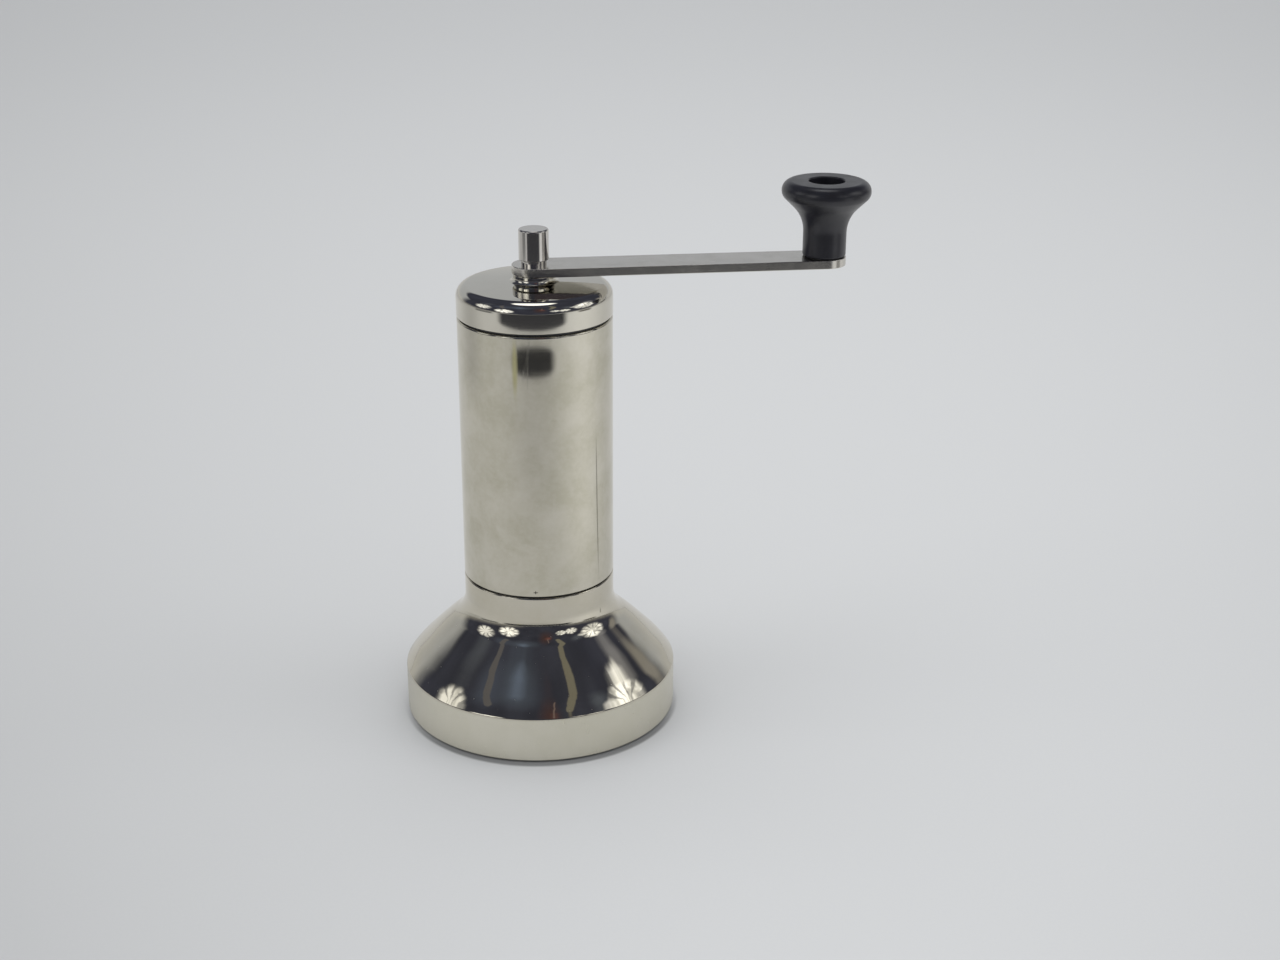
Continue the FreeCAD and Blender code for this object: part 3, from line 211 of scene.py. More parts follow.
def barPiece(name, low, high, half, reach, holes, edge):
    # Flat bar with round ends. A ring of the bar is two half circles of radius s about x = reach and x = 0,
    # at the angle t of each step: (centre + s cos t, s sin t). The rings go up the outside with s = half,
    # drawn in by edge on a quarter round at bottom and top, then down through the outer halves of both
    # holes. Each hole's inner half is that half mirrored, and a strip joins the two inner halves.
    steps = surface["barSteps"]
    quarter = np.linspace(0, np.pi / 2, surface["barEdgeSteps"] + 1)
    turn = np.linspace(-np.pi / 2, np.pi / 2, steps + 1)
    angle = np.concatenate([turn, turn + np.pi])
    centre = np.repeat([reach, 0.0], steps + 1)
    holeRadius = np.repeat([holes[1], holes[0]], steps + 1)
    direction = np.stack([np.cos(angle), np.sin(angle)], axis=1)
    count = len(angle)
    whole = np.arange(count)
    following = (whole + 1) % count

    def ring(radius, height):
        points = direction * np.broadcast_to(radius, count)[:, None]
        return np.column_stack([points[:, 0] + centre, points[:, 1], np.full(count, height)])

    corners, normals = [], []

    def addFaces(lower, upper, here, there, lowerNormals, upperNormals):
        # lower and upper are where two rings start, here and there the steps of a face's two sides
        corners.append(np.stack([lower + here, lower + there, upper + there, upper + here], axis=1))
        normals.append(np.stack([lowerNormals[here], lowerNormals[there], upperNormals[there],
                                 upperNormals[here]], axis=1))

    drawnIn = np.concatenate([edge * (1 - np.sin(quarter)), edge * (1 - np.cos(quarter))])
    level = np.concatenate([low + edge * (1 - np.cos(quarter)), high - edge * (1 - np.sin(quarter))])
    tilt = np.concatenate([quarter - np.pi / 2, quarter])
    rings = [ring(half - inset, height) for inset, height in zip(drawnIn, level)]
    ringNormals = [np.column_stack([direction * math.cos(rise), np.full(count, math.sin(rise))])
                   for rise in tilt]
    outer = len(rings)
    rings += [ring(holeRadius, high), ring(holeRadius, low)]
    for height in (low, high):
        other = ring(holeRadius, height)
        other[:, 0] = 2 * centre - other[:, 0]
        rings.append(other)
    top, bottom, lowOther, highOther = np.arange(outer, outer + 4) * count
    up = np.tile([0.0, 0.0, 1.0], (count, 1))
    for band in range(outer - 1):
        start = band * count
        addFaces(start, start + count, whole, following, ringNormals[band], ringNormals[band + 1])
    addFaces(top - count, top, whole, following, up, up)
    addFaces(bottom, 0, whole, following, -up, -up)
    inward = np.column_stack([-direction, np.zeros(count)])
    mirrored = inward * (-1, 1, 1)
    sides = np.concatenate([whole[:steps], whole[:steps] + steps + 1])
    addFaces(top, bottom, sides, sides + 1, inward, inward)
    addFaces(highOther, lowOther, sides + 1, sides, mirrored, mirrored)
    near, far = whole[:steps], count - 1 - whole[:steps]
    strip = np.stack([near, near + 1, far - 1, far], axis=1)
    for faces, facing in ((highOther + strip, up), (lowOther + strip[:, ::-1], -up)):
        corners.append(faces)
        normals.append(np.tile(facing[:steps, None], (1, 4, 1)))
    corners, normals = np.concatenate(corners).reshape(-1), np.concatenate(normals).reshape(-1, 3)
    # the two halves of a hole share the points where they meet
    ends = np.array([0, steps, steps + 1, count - 1])
    shared = np.arange(len(rings) * count)
    shared[highOther + ends], shared[lowOther + ends] = top + ends, bottom + ends
    used, corners = np.unique(shared[corners], return_inverse=True)
    vertices = np.concatenate(rings)[used] * mm
    return meshPiece(name, vertices, corners, np.full(len(corners) // 4, 4), normals)


def nodeBox(name):
    # Lowest and highest corner of a node in mm.
    low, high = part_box(name)
    return [value / mm for value in low], [value / mm for value in high]


# Base shell

baseSizes = {
    "rimHeight": 15.8,       # lower edge to the corner under the flare
    "rimRound": 1.2,
    "swell": (2.9, 3.9),     # from that corner inward and up to the flare's lower bend
    "swellRound": 45.0,
    "belly": (11.18, 12.4),  # from the same corner to the flare's upper bend
    "bellyRound": 130.0,
    "slopeRise": 15.9,       # lower edge to the foot of the solid's 45 degree slope, which ends at the neck
    "neckRadius": 26.0,
    "flareFillet": 12.0,
    "insideRound": 0.9,
    "wall": 1.5,
    "edge": 0.6,
}


def makeBaseShell(sizes):
    low, high = nodeBox("base_shell")
    rim, neck, wall, edge = high[0], sizes["neckRadius"], sizes["wall"], sizes["edge"]
    corner = low[2] + sizes["rimHeight"]
    (inward, upward), (bellyInward, bellyUpward) = sizes["swell"], sizes["belly"]
    neckCorner = low[2] + sizes["slopeRise"] + rim - neck
    drop = wall * (math.sqrt(2) - 1)
    return turnedPiece("baseShell", [
        (rim - wall, low[2]),
        (rim, low[2], edge),
        (rim, corner, sizes["rimRound"]),
        (rim - inward, corner + upward, sizes["swellRound"]),
        (rim - bellyInward, corner + bellyUpward, sizes["bellyRound"]),
        (neck, neckCorner, sizes["flareFillet"]),
        (neck, high[2], edge),
        (neck - wall, high[2]),
        (neck - wall, neckCorner - drop, sizes["flareFillet"] + wall),
        (rim - wall, corner - drop, sizes["insideRound"]),
    ])


# Body tube

tubeSizes = {"wall": 1.5, "edge": 0.3, "lip": 0.7}


def makeBodyTube(sizes):
    low, high = nodeBox("body_tube")
    radius, inside, edge = high[0], high[0] - sizes["wall"], sizes["edge"]
    return turnedPiece("bodyTube", [
        (inside, low[2]),
        (radius, low[2], edge),
        (radius, high[2], sizes["lip"]),
        (inside, high[2], edge),
    ])


# Lid: cap and the ring under it, whose flange shows in the groove

lidSizes = {
    "wall": 1.5,
    "height": 9.9,           # lower edge to the shoulder's corner
    "shoulder": 4.0,
    "dome": 320.0,
    "domeStart": 5.5,        # from the lid's side inward
    "domeEnd": 2.4,          # from the boss outward
    "domePoints": 8,
    "domeRound": 60.0,       # between the dome's chords
    "bossRadius": 6.9,
    "bossFillet": 1.6,
    "bossBore": 5.65,
    "ceiling": 8.4,
    "ceilingRound": 1.8,
    "edge": 0.35,
}


def makeLidShell(sizes):
    low, high = nodeBox("lid_shell")
    radius, inside, edge = high[0], high[0] - sizes["wall"], sizes["edge"]
    boss, bore = sizes["bossRadius"], sizes["bossBore"]
    shoulder = low[2] + sizes["height"]

    def domeRise(across):
        return math.sqrt(sizes["dome"] ** 2 - across ** 2) - math.sqrt(sizes["dome"] ** 2 - radius ** 2)

    # the dome is drawn as short chords of its circle, inward from the shoulder to the boss
    across = np.linspace(radius - sizes["domeStart"], boss + sizes["domeEnd"], sizes["domePoints"])
    dome = [(r, shoulder + domeRise(r), sizes["domeRound"]) for r in across]
    ceiling = low[2] + sizes["ceiling"]
    return turnedPiece("lidShell", [
        (inside, low[2]),
        (radius, low[2], edge),
        (radius, shoulder, sizes["shoulder"]),
        *dome,
        (boss, shoulder + domeRise(boss), sizes["bossFillet"]),
        (boss, high[2], edge),
        (bore, high[2]),
        (bore, ceiling),
        (inside, ceiling, sizes["ceilingRound"]),
    ])


plugSizes = {
    "flangeLow": 7.0,        # lowest edge to the flange
    "skirt": 24.4,
    "bore": 21.5,
    "lidInside": 24.55,
    "sealLevel": 3.4,        # groove of the seal, from the lowest edge
    "sealGroove": 1.45,
    "sealHalf": 0.84,
    "edge": 0.35,
}


def makeLidPlug(sizes):
    low, high = nodeBox("lid_plug")
    bottom = low[2]
    flange = bottom + sizes["flangeLow"]
    flangeTop = nodeBox("lid_shell")[0][2]
    skirt, bore = sizes["skirt"], sizes["bore"]
    floor = skirt - sizes["sealGroove"]
    seal = bottom + sizes["sealLevel"]
    sealLow, sealHigh = seal - sizes["sealHalf"], seal + sizes["sealHalf"]
    return turnedPiece("lidPlug", [
        (bore, bottom),
        (skirt, bottom, sizes["edge"]),
        (skirt, sealLow),
        (floor, sealLow),
        (floor, sealHigh),
        (skirt, sealHigh),
        (skirt, flange),
        (high[0], flange),
        (high[0], flangeTop),
        (sizes["lidInside"], flangeTop),
        (sizes["lidInside"], high[2]),
        (bore, high[2]),
    ])


# Crank: flat arm, tall nut and the knob

armSizes = {"edge": 0.22, "pinHole": 2.5, "shaftHole": 4.0}


def makeCrankArm(sizes):
    low, high = nodeBox("crank_arm")
    half = high[1]
    reach = high[0] - half
    return barPiece("crankArm", low[2], high[2], half, reach,
                    (sizes["shaftHole"], sizes["pinHole"]), sizes["edge"])


nutSizes = {
    "neck": 4.25,
    "neckHeight": 1.7,
    "neckRound": 0.3,
    "bore": 3.05,
    "boreDepth": 10.5,
    "edge": 0.55,
    "foot": 0.25,
    "around": 160,           # steps round its axis
}


def makeCapNut(sizes):
    low, high = nodeBox("cap_nut")
    radius, bottom, top = high[0], low[2], high[2]
    step = bottom + sizes["neckHeight"]
    return turnedPiece("capNut", [
        (0.0, bottom + sizes["boreDepth"]),
        (sizes["bore"], bottom + sizes["boreDepth"]),
        (sizes["bore"], bottom),
        (sizes["neck"], bottom),
        (sizes["neck"], step, sizes["neckRound"]),
        (radius, step, sizes["foot"]),
        (radius, top, sizes["edge"]),
        (0.0, top),
    ], closed=False, around=sizes["around"])


knobSizes = {
    "neck": 7.25,
    "flank": 12.85,          # foot to the corner under the flare
    "slope": 44.0,
    "flare": 11.8,
    "rimRound": 3.2,
    "topRound": 3.3,
    "mouth": 6.0,
    "shelf": 12.2,           # foot to the shelf inside
    "bore": 3.05,
    "edge": 0.5,
    "around": 192,
}


def makeKnob(sizes):
    low, high = nodeBox("knob")
    axis = (low[0] + high[0]) / 2
    radius, bottom, top = (high[0] - low[0]) / 2, low[2], high[2]
    neck, mouth, bore, edge = (sizes[name] for name in ("neck", "mouth", "bore", "edge"))
    flank, shelf = bottom + sizes["flank"], bottom + sizes["shelf"]
    rimFoot = flank + (radius - neck) * math.tan(math.radians(sizes["slope"]))
    return turnedPiece("knobGrip", [
        (bore, bottom),
        (neck, bottom, edge),
        (neck, flank, sizes["flare"]),
        (radius, rimFoot, sizes["rimRound"]),
        (radius, top, sizes["topRound"]),
        (mouth, top, edge),
        (mouth, shelf),
        (bore, shelf),
    ], axis=axis * mm, around=sizes["around"])


# Node tools. A new node joins the tree of the sockets that it reads.

def feed(socket, value):
    # A socket takes a link from another socket, or else a plain value. A colour has an alpha of 1.
    if isinstance(value, bpy.types.NodeSocket):
        socket.id_data.links.new(value, socket)
    elif socket.type == "RGBA":
        socket.default_value = (*value, 1)
    else:
        socket.default_value = value


def addNode(kind, inputs, **settings):
    # inputs maps a socket's name or number to a value or to another node's socket
    tree = next(value.id_data for value in inputs.values() if isinstance(value, bpy.types.NodeSocket))
    node = tree.nodes.new(kind)
    for name, value in settings.items():
        setattr(node, name, value)
    for name, value in inputs.items():
        feed(node.inputs[name], value)
    return node.outputs


def calc(operation, *values, clamp=False):
    return addNode("ShaderNodeMath", dict(enumerate(values)), operation=operation, use_clamp=clamp)[0]


def add(first, *others):
    for value in others:
        first = calc("ADD", first, value)
    return first


def times(first, *others):
    for value in others:
        first = calc("MULTIPLY", first, value)
    return first


def minus(first, second):
    return calc("SUBTRACT", first, second)


def over(first, second):
    return calc("DIVIDE", first, second)


def hypotenuse(first, second):
    # Square root of the sum of both squares.
    return calc("SQRT", add(times(first, first), times(second, second)))


def ramp(value, start, finish, low=0.0, high=1.0):
    return addNode("ShaderNodeMapRange", {0: value, 1: start, 2: finish, 3: low, 4: high},
                   interpolation_type="SMOOTHSTEP")[0]


def mix(share, first, second):
    return addNode("ShaderNodeMix", {0: share, 6: first, 7: second}, data_type="RGBA")[2]


def noise(place, scale, detail, roughness=0.5, distortion=0.0):
    return addNode("ShaderNodeTexNoise", {"Vector": place, "Scale": scale, "Detail": detail,
                                          "Roughness": roughness, "Distortion": distortion})


def parts(place):
    # x, y and z of a vector
    return addNode("ShaderNodeSeparateXYZ", {0: place})


def vectorMath(operation, first, second):
    return addNode("ShaderNodeVectorMath", {0: first, 1: second}, operation=operation)


def scaled(place, factor):
    return addNode("ShaderNodeVectorMath", {0: place, "Scale": factor}, operation="SCALE")[0]


def makeGroup(name, inputs, build):
    # Node group. inputs maps each socket's name to its default, a number or a vector, and build works out
    # the outputs by name from them.
    group = bpy.data.node_groups.new(name, "ShaderNodeTree")
    for label, default in inputs.items():
        kind = "NodeSocketVector" if isinstance(default, tuple) else "NodeSocketFloat"
        group.interface.new_socket(label, in_out="INPUT", socket_type=kind).default_value = default
    given, made = group.nodes.new("NodeGroupInput"), group.nodes.new("NodeGroupOutput")
    for label, value in build(given.outputs).items():
        group.interface.new_socket(label, in_out="OUTPUT", socket_type="NodeSocketFloat")
        feed(made.inputs[label], value)
    return group


def placeGroup(group, inputs):
    return addNode("ShaderNodeGroup", inputs, node_tree=group)


# Textures as node groups, lengths in metres

texture = {
    "lineCut": (0.35, 0.7),       # noise at which a turned line starts and is full
    "hairStart": 0.75,            # noise at which a scratch starts when there is no coverage
    "hairReach": 0.4,             # how far full coverage lowers that
    "hairEdge": 0.12,
    "smudgeFine": 6.0,            # scale of a smudge's small noise against its wide one
    "smudgeGain": 2.5,
    "wearScale": 0.04,            # scale of wear against that of grain
    "wearCut": (0.3, 0.75),
    "dotCore": 0.6,               # share of a dot's radius that is full
    "printCore": (0.8, 0.7),      # the same along a printed line and across it
    "polishScale": 90.0,          # of the slow waves of polishing
    "scratchCoverage": 0.35,
    "tarnishFade": (1.0, 1.0, 1.3),     # how much tarnish takes from red, green and blue
    "wearLift": 0.004,            # least that wear adds to a colour
    "micron": 0.000001,           # unit of the height maps
}


def latheLineMask(given):
    # Fine lines that run round an axis: noise on (radius, height) in fine steps and on the turn in coarse
    # ones, so a line is long round the piece and thin across it.
    x, y, z = parts(given["Vector"])
    place = addNode("ShaderNodeCombineXYZ", {
        0: over(hypotenuse(x, y), given["Spacing"]),
        1: over(calc("ARCTAN2", y, x), given["Length"]),
        2: over(z, given["Spacing"]),
    })[0]
    return {"Mask": ramp(noise(place, 1.0, 3.0, roughness=0.6)[0], *texture["lineCut"])}


def hairlineMask(given):
    # Short scratches in one direction: noise stretched along that direction, cut to its peaks.
    place = vectorMath("MULTIPLY", given["Vector"], given["Stretch"])[0]
    start = minus(texture["hairStart"], times(given["Coverage"], texture["hairReach"]))
    peaks = noise(place, 1.0, 4.0, roughness=0.65)[0]
    return {"Mask": ramp(peaks, start, add(start, texture["hairEdge"]))}


def smudgeMask(given):
    # Faint cloudy patches left by hands and cloths: a wide and a fine noise multiplied, taken about their
    # middle, strengthened by the contrast and held between 0 and 1.
    place = scaled(given["Vector"], over(1.0, given["Size"]))
    wide = noise(place, 1.0, 3.0, distortion=0.4)[0]
    fine = noise(place, texture["smudgeFine"], 5.0, roughness=0.7)[0]
    centred = minus(times(wide, add(fine, 0.5)), 0.5)
    spread = add(times(centred, texture["smudgeGain"], given["Contrast"]), 0.5)
    return {"Mask": calc("MINIMUM", calc("MAXIMUM", spread, 0.0), 1.0)}


def grainAndWear(given):
    # Fine even grain of moulded plastic and rubber: small noise for the relief and a wider one for wear.
    place = scaled(given["Vector"], over(1.0, given["Grain"]))
    wear = noise(place, texture["wearScale"], 5.0, roughness=0.65)[0]
    return {"Relief": noise(place, 1.0, 2.0)[0], "Wear": ramp(wear, *texture["wearCut"])}


def speckMask(given):
    # Dust: points strewn through space in cells, kept where the cell's own number is below the share, and
    # cut to small round dots by the distance to the point.
    place = scaled(given["Vector"], over(1.0, given["Spacing"]))
    cells = addNode("ShaderNodeTexVoronoi", {"Vector": place, "Scale": 1.0})
    dot = ramp(cells["Distance"], given["Size"], times(given["Size"], texture["dotCore"]))
    number = addNode("ShaderNodeSeparateColor", {0: cells["Color"]})[0]
    return {"Mask": times(dot, calc("LESS_THAN", number, given["Share"]))}


zero = (0, 0, 0)
latheLines = makeGroup("latheLines", {"Vector": zero, "Spacing": 0.0004, "Length": 0.6}, latheLineMask)
hairlines = makeGroup("hairlines", {"Vector": zero, "Stretch": (100,) * 3, "Coverage": 0.3}, hairlineMask)
smudges = makeGroup("smudges", {"Vector": zero, "Size": 0.02, "Contrast": 1.0}, smudgeMask)
mouldGrain = makeGroup("mouldGrain", {"Vector": zero, "Grain": 0.0004}, grainAndWear)
specks = makeGroup("specks", {"Vector": zero, "Spacing": 0.002, "Size": 0.06, "Share": 0.2}, speckMask)


def printedCross(place, mark):
    # 1 on a small upright cross at one turn and height of the tube, 0 elsewhere: the distances sideways and
    # upwards from its middle, each held against a line's half length and half width.
    x, y, z = parts(place)
    turn = math.radians(mark["turn"])
    sideways = calc("ABSOLUTE", minus(times(y, math.cos(turn)), times(x, math.sin(turn))))
    facing = add(times(x, math.cos(turn)), times(y, math.sin(turn)))
    upwards = calc("ABSOLUTE", minus(z, mark["level"]))
    ends, side = texture["printCore"]
    wide, tall, line = mark["wide"], mark["tall"], mark["line"]
    level = times(ramp(sideways, wide, wide * ends), ramp(upwards, line, line * side))
    upright = times(ramp(sideways, line, line * side), ramp(upwards, tall, tall * ends))
    return times(calc("MAXIMUM", level, upright), ramp(facing, *mark["front"]))


# Materials

def newMaterial(name):
    material = bpy.data.materials.new(name)
    material.use_nodes = True
    material.node_tree.nodes.clear()
    return material, material.node_tree.nodes.new("ShaderNodeTexCoord").outputs["Object"]


def dressSurface(height, inputs):
    # Principled shader with a normal lifted by a height map in microns.
    bump = addNode("ShaderNodeBump", {"Height": height, "Distance": texture["micron"]})[0]
    shader = addNode("ShaderNodeBsdfPrincipled", {**inputs, "Normal": bump})[0]
    addNode("ShaderNodeOutputMaterial", {0: shader})


def metalMaterial(name, colour, roughness, lines=0.02, lineSpacing=0.0003, patches=0.03, patchSize=0.02,
                  waves=0.0, scratches=0.0, tarnish=0.04, stretch=(600, 600, 40), relief=0.15, mark=None):
    # Turned or brushed metal. The colour darkens and yellows slightly in patches, the roughness follows the
    # lines, patches and scratches, and the height map carries the lines and slow waves of polishing.
    material, place = newMaterial(name)
    grooves = placeGroup(latheLines, {"Vector": place, "Spacing": lineSpacing})["Mask"]
    cloud = placeGroup(smudges, {"Vector": place, "Size": patchSize})["Mask"]
    scratch = placeGroup(hairlines, {
        "Vector": place, "Stretch": stretch, "Coverage": texture["scratchCoverage"]})["Mask"]
    fades = zip(colour, texture["tarnishFade"])
    shade = mix(cloud, colour, [channel * (1 - tarnish * fade) for channel, fade in fades])
    if mark:
        shade = mix(printedCross(place, mark), shade, mark["colour"])
    rough = add(roughness, times(grooves, lines), times(cloud, patches), times(scratch, scratches))
    height = add(times(noise(place, texture["polishScale"], 1.0)[0], waves), times(grooves, relief))
    dressSurface(height, {"Base Color": shade, "Metallic": 1.0, "Roughness": rough})
    return material


def plasticMaterial(name, colour, roughness, grain=0.0004, relief=6.0, wear=0.1, lift=0.5, specular=0.5):
    # Moulded plastic or rubber. Grain is the height map, and wear makes patches smoother and paler.
    material, place = newMaterial(name)
    made = placeGroup(mouldGrain, {"Vector": place, "Grain": grain})
    paler = [channel * (1 + lift) + texture["wearLift"] for channel in colour]
    shade = mix(made["Wear"], colour, paler)
    rough = minus(roughness, times(made["Wear"], wear))
    dressSurface(times(made["Relief"], relief),
                 {"Base Color": shade, "Roughness": rough, "Specular IOR Level": specular})
    return material


baseFinish = {
    "mirror": ((0.60, 0.572, 0.493), (0.56, 0.530, 0.440)),     # clean, and under a smudge
    "satin": ((0.725, 0.705, 0.615), (0.68, 0.66, 0.56)),
    "satinLevel": (0.0162, 0.0154),     # height where the rim's satin starts, and where it is full
    # painted shade at the rim's lower edge, and the height where it starts and where it is full
    "grime": (0.20, 0.19, 0.165),
    "grimeLevel": (0.0012, 0.0004),
    "rough": (0.035, 0.015, 0.3, 0.05, 0.2),     # clean, and what smudges, dust, scratches and satin add
    "lineSpacing": 0.0003,
    "smudgeSize": 0.018,
    "scratches": {"Stretch": (900, 900, 60), "Coverage": 0.3},
    "dust": {"Spacing": 0.0015, "Size": 0.12, "Share": 0.16},
    "waveScale": 70.0,
    "waves": 9.0,
    "relief": 0.05,
}


def baseMaterial(name, look):
    # The flare and neck are mirror polished. The rim is satin and paler, with painted shade darkening its
    # lower edge where it stands on the floor.
    material, place = newMaterial(name)
    level = parts(place)[2]
    satin = ramp(level, *look["satinLevel"])
    grooves = placeGroup(latheLines, {"Vector": place, "Spacing": look["lineSpacing"]})["Mask"]
    cloud = placeGroup(smudges, {"Vector": place, "Size": look["smudgeSize"]})["Mask"]
    scratch = placeGroup(hairlines, {"Vector": place, **look["scratches"]})["Mask"]
    dust = placeGroup(specks, {"Vector": place, **look["dust"]})["Mask"]
    shade = mix(satin, mix(cloud, *look["mirror"]), mix(cloud, *look["satin"]))
    # painted contact shade: the lowest millimetre of the rim darkens
    shade = mix(ramp(level, *look["grimeLevel"]), shade, look["grime"])
    clean, smudged, dusty, scratched, satiny = look["rough"]
    rough = add(clean, times(cloud, smudged), times(dust, dusty), times(scratch, scratched),
                times(satin, satiny))
    waves = noise(place, look["waveScale"], 1.0)[0]
    height = add(times(waves, look["waves"]), times(grooves, look["relief"]))
    dressSurface(height, {"Base Color": shade, "Metallic": 1.0, "Roughness": rough})
    return material


# Finishes

tubeMark = {    # small cross printed just above the seam as an index mark
    "turn": -97.0,
    "level": 0.0531,
    "wide": 0.0008,
    "tall": 0.0006,
    "line": 0.00016,
    "front": (0.0, 0.01),    # distance before the axis where it may start, and where it is full
    "colour": (0.05, 0.045, 0.04),
}
metalFinishes = {
    "satinTube": dict(
        colour=(0.610, 0.585, 0.508), roughness=0.035, lines=0.012, patches=0.02, patchSize=0.013, waves=4.0,
        scratches=0.03, tarnish=0.16, relief=0.04, mark=tubeMark),
    "polishedLid": dict(
        colour=(0.62, 0.598, 0.530), roughness=0.02, lines=0.008, patches=0.015, patchSize=0.012, waves=5.0,
        scratches=0.02, relief=0.03),
    "brushedArm": dict(
        colour=(0.60, 0.58, 0.54), roughness=0.16, lines=0.0, patches=0.06, patchSize=0.008, waves=6.0,
        scratches=0.12, stretch=(60, 2500, 2500), relief=0.0),
    "polishedNut": dict(
        colour=(0.62, 0.60, 0.57), roughness=0.07, lines=0.03, lineSpacing=0.0002, patchSize=0.006,
        waves=3.0, relief=0.05),
    "shaftSteel": dict(
        colour=(0.60, 0.595, 0.58), roughness=0.22, lines=0.08, lineSpacing=0.00025, relief=0.5),
    "washerBrass": dict(
        colour=(0.80, 0.62, 0.30), roughness=0.28, lines=0.08, tarnish=0.15, relief=0.5),
    "springSteel": dict(
        colour=(0.55, 0.55, 0.55), roughness=0.25, lines=0.03, scratches=0.1, stretch=(900, 900, 900)),
    "bridgeSteel": dict(
        colour=(0.58, 0.575, 0.56), roughness=0.32, lines=0.03, patches=0.08, patchSize=0.005, scratches=0.1,
        stretch=(700, 700, 700), relief=0.6),
    "screwSteel": dict(
        colour=(0.52, 0.52, 0.52), roughness=0.3, lines=0.05, patches=0.06, patchSize=0.002,
        stretch=(1500, 1500, 1500)),
    "burrSteel": dict(
        colour=(0.36, 0.355, 0.35), roughness=0.38, lines=0.05, patches=0.12, patchSize=0.003, scratches=0.1,
        tarnish=0.2, stretch=(1500, 1500, 1500), relief=0.8),
    "panSteel": dict(
        colour=(0.56, 0.555, 0.54), roughness=0.3, lines=0.06, patches=0.08, patchSize=0.01, relief=0.6),
}
plasticFinishes = {
    "darkPlastic": dict(colour=(0.018, 0.018, 0.02), roughness=0.5, wear=0.12),
    "palePlastic": dict(colour=(0.70, 0.69, 0.65), roughness=0.45, relief=3.0, lift=0.03),
    "blackRubber": dict(colour=(0.02, 0.02, 0.02), roughness=0.8, grain=0.0006, relief=20.0, specular=0.3),
    "sealRubber": dict(colour=(0.016, 0.016, 0.016), roughness=0.45, relief=2.0, specular=0.4),
    "knobPlastic": dict(
        colour=(0.010, 0.010, 0.014), roughness=0.33, grain=0.0003, relief=3.0, wear=0.06, lift=0.4),
}

finishes = {"polishedBase": baseMaterial("polishedBase", baseFinish)}
finishes.update({name: metalMaterial(name, **look) for name, look in metalFinishes.items()})
finishes.update({name: plasticMaterial(name, **look) for name, look in plasticFinishes.items()})
print("finishes ready:", len(finishes))


# New pieces, each with its node, body, slot and finish

newPieces = [
    (makeBaseShell(baseSizes), "base_shell", "base", "polished_steel", "polishedBase"),
    (makeBodyTube(tubeSizes), "body_tube", "body", "satin_steel", "satinTube"),
    (makeLidShell(lidSizes), "lid_shell", "lid", "polished_steel", "polishedLid"),
    (makeLidPlug(plugSizes), "lid_plug", "lid", "dark_plastic", "darkPlastic"),
    (makeCrankArm(armSizes), "crank_arm", "crank", "brushed_steel", "brushedArm"),
    (makeCapNut(nutSizes), "cap_nut", "crank", "polished_nut", "polishedNut"),
    (makeKnob(knobSizes), "knob", "knob", "knob_plastic", "knobPlastic"),
]
for piece, node, body, slot, finish in newPieces:
    piece.data.materials.append(finishes[finish])
    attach(piece, body)
    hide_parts(node)
print("new pieces:", len(newPieces))


# The other nodes keep their shape and get the finish that their material slot names

# slots whose finish has another name
otherFinishes = {"polishedSteel": "polishedBase", "satinSteel": "satinTube", "brushedSteel": "brushedArm"}
for part in frame["record"]["subparts"]:
    shownNode = nodes[part["node"]]
    first, second = part["material_slot"].split("_")
    name = first + second.title()
    finish = finishes[otherFinishes.get(name, name)]
    if not shownNode.material_slots:
        shownNode.data.materials.append(finish)
    for slot in shownNode.material_slots:
        slot.material = finish
print("nodes finished:", len(nodes))


# Room: what the steel mirrors. Azimuth 0 looks along +Y, 90 along +X, in degrees.

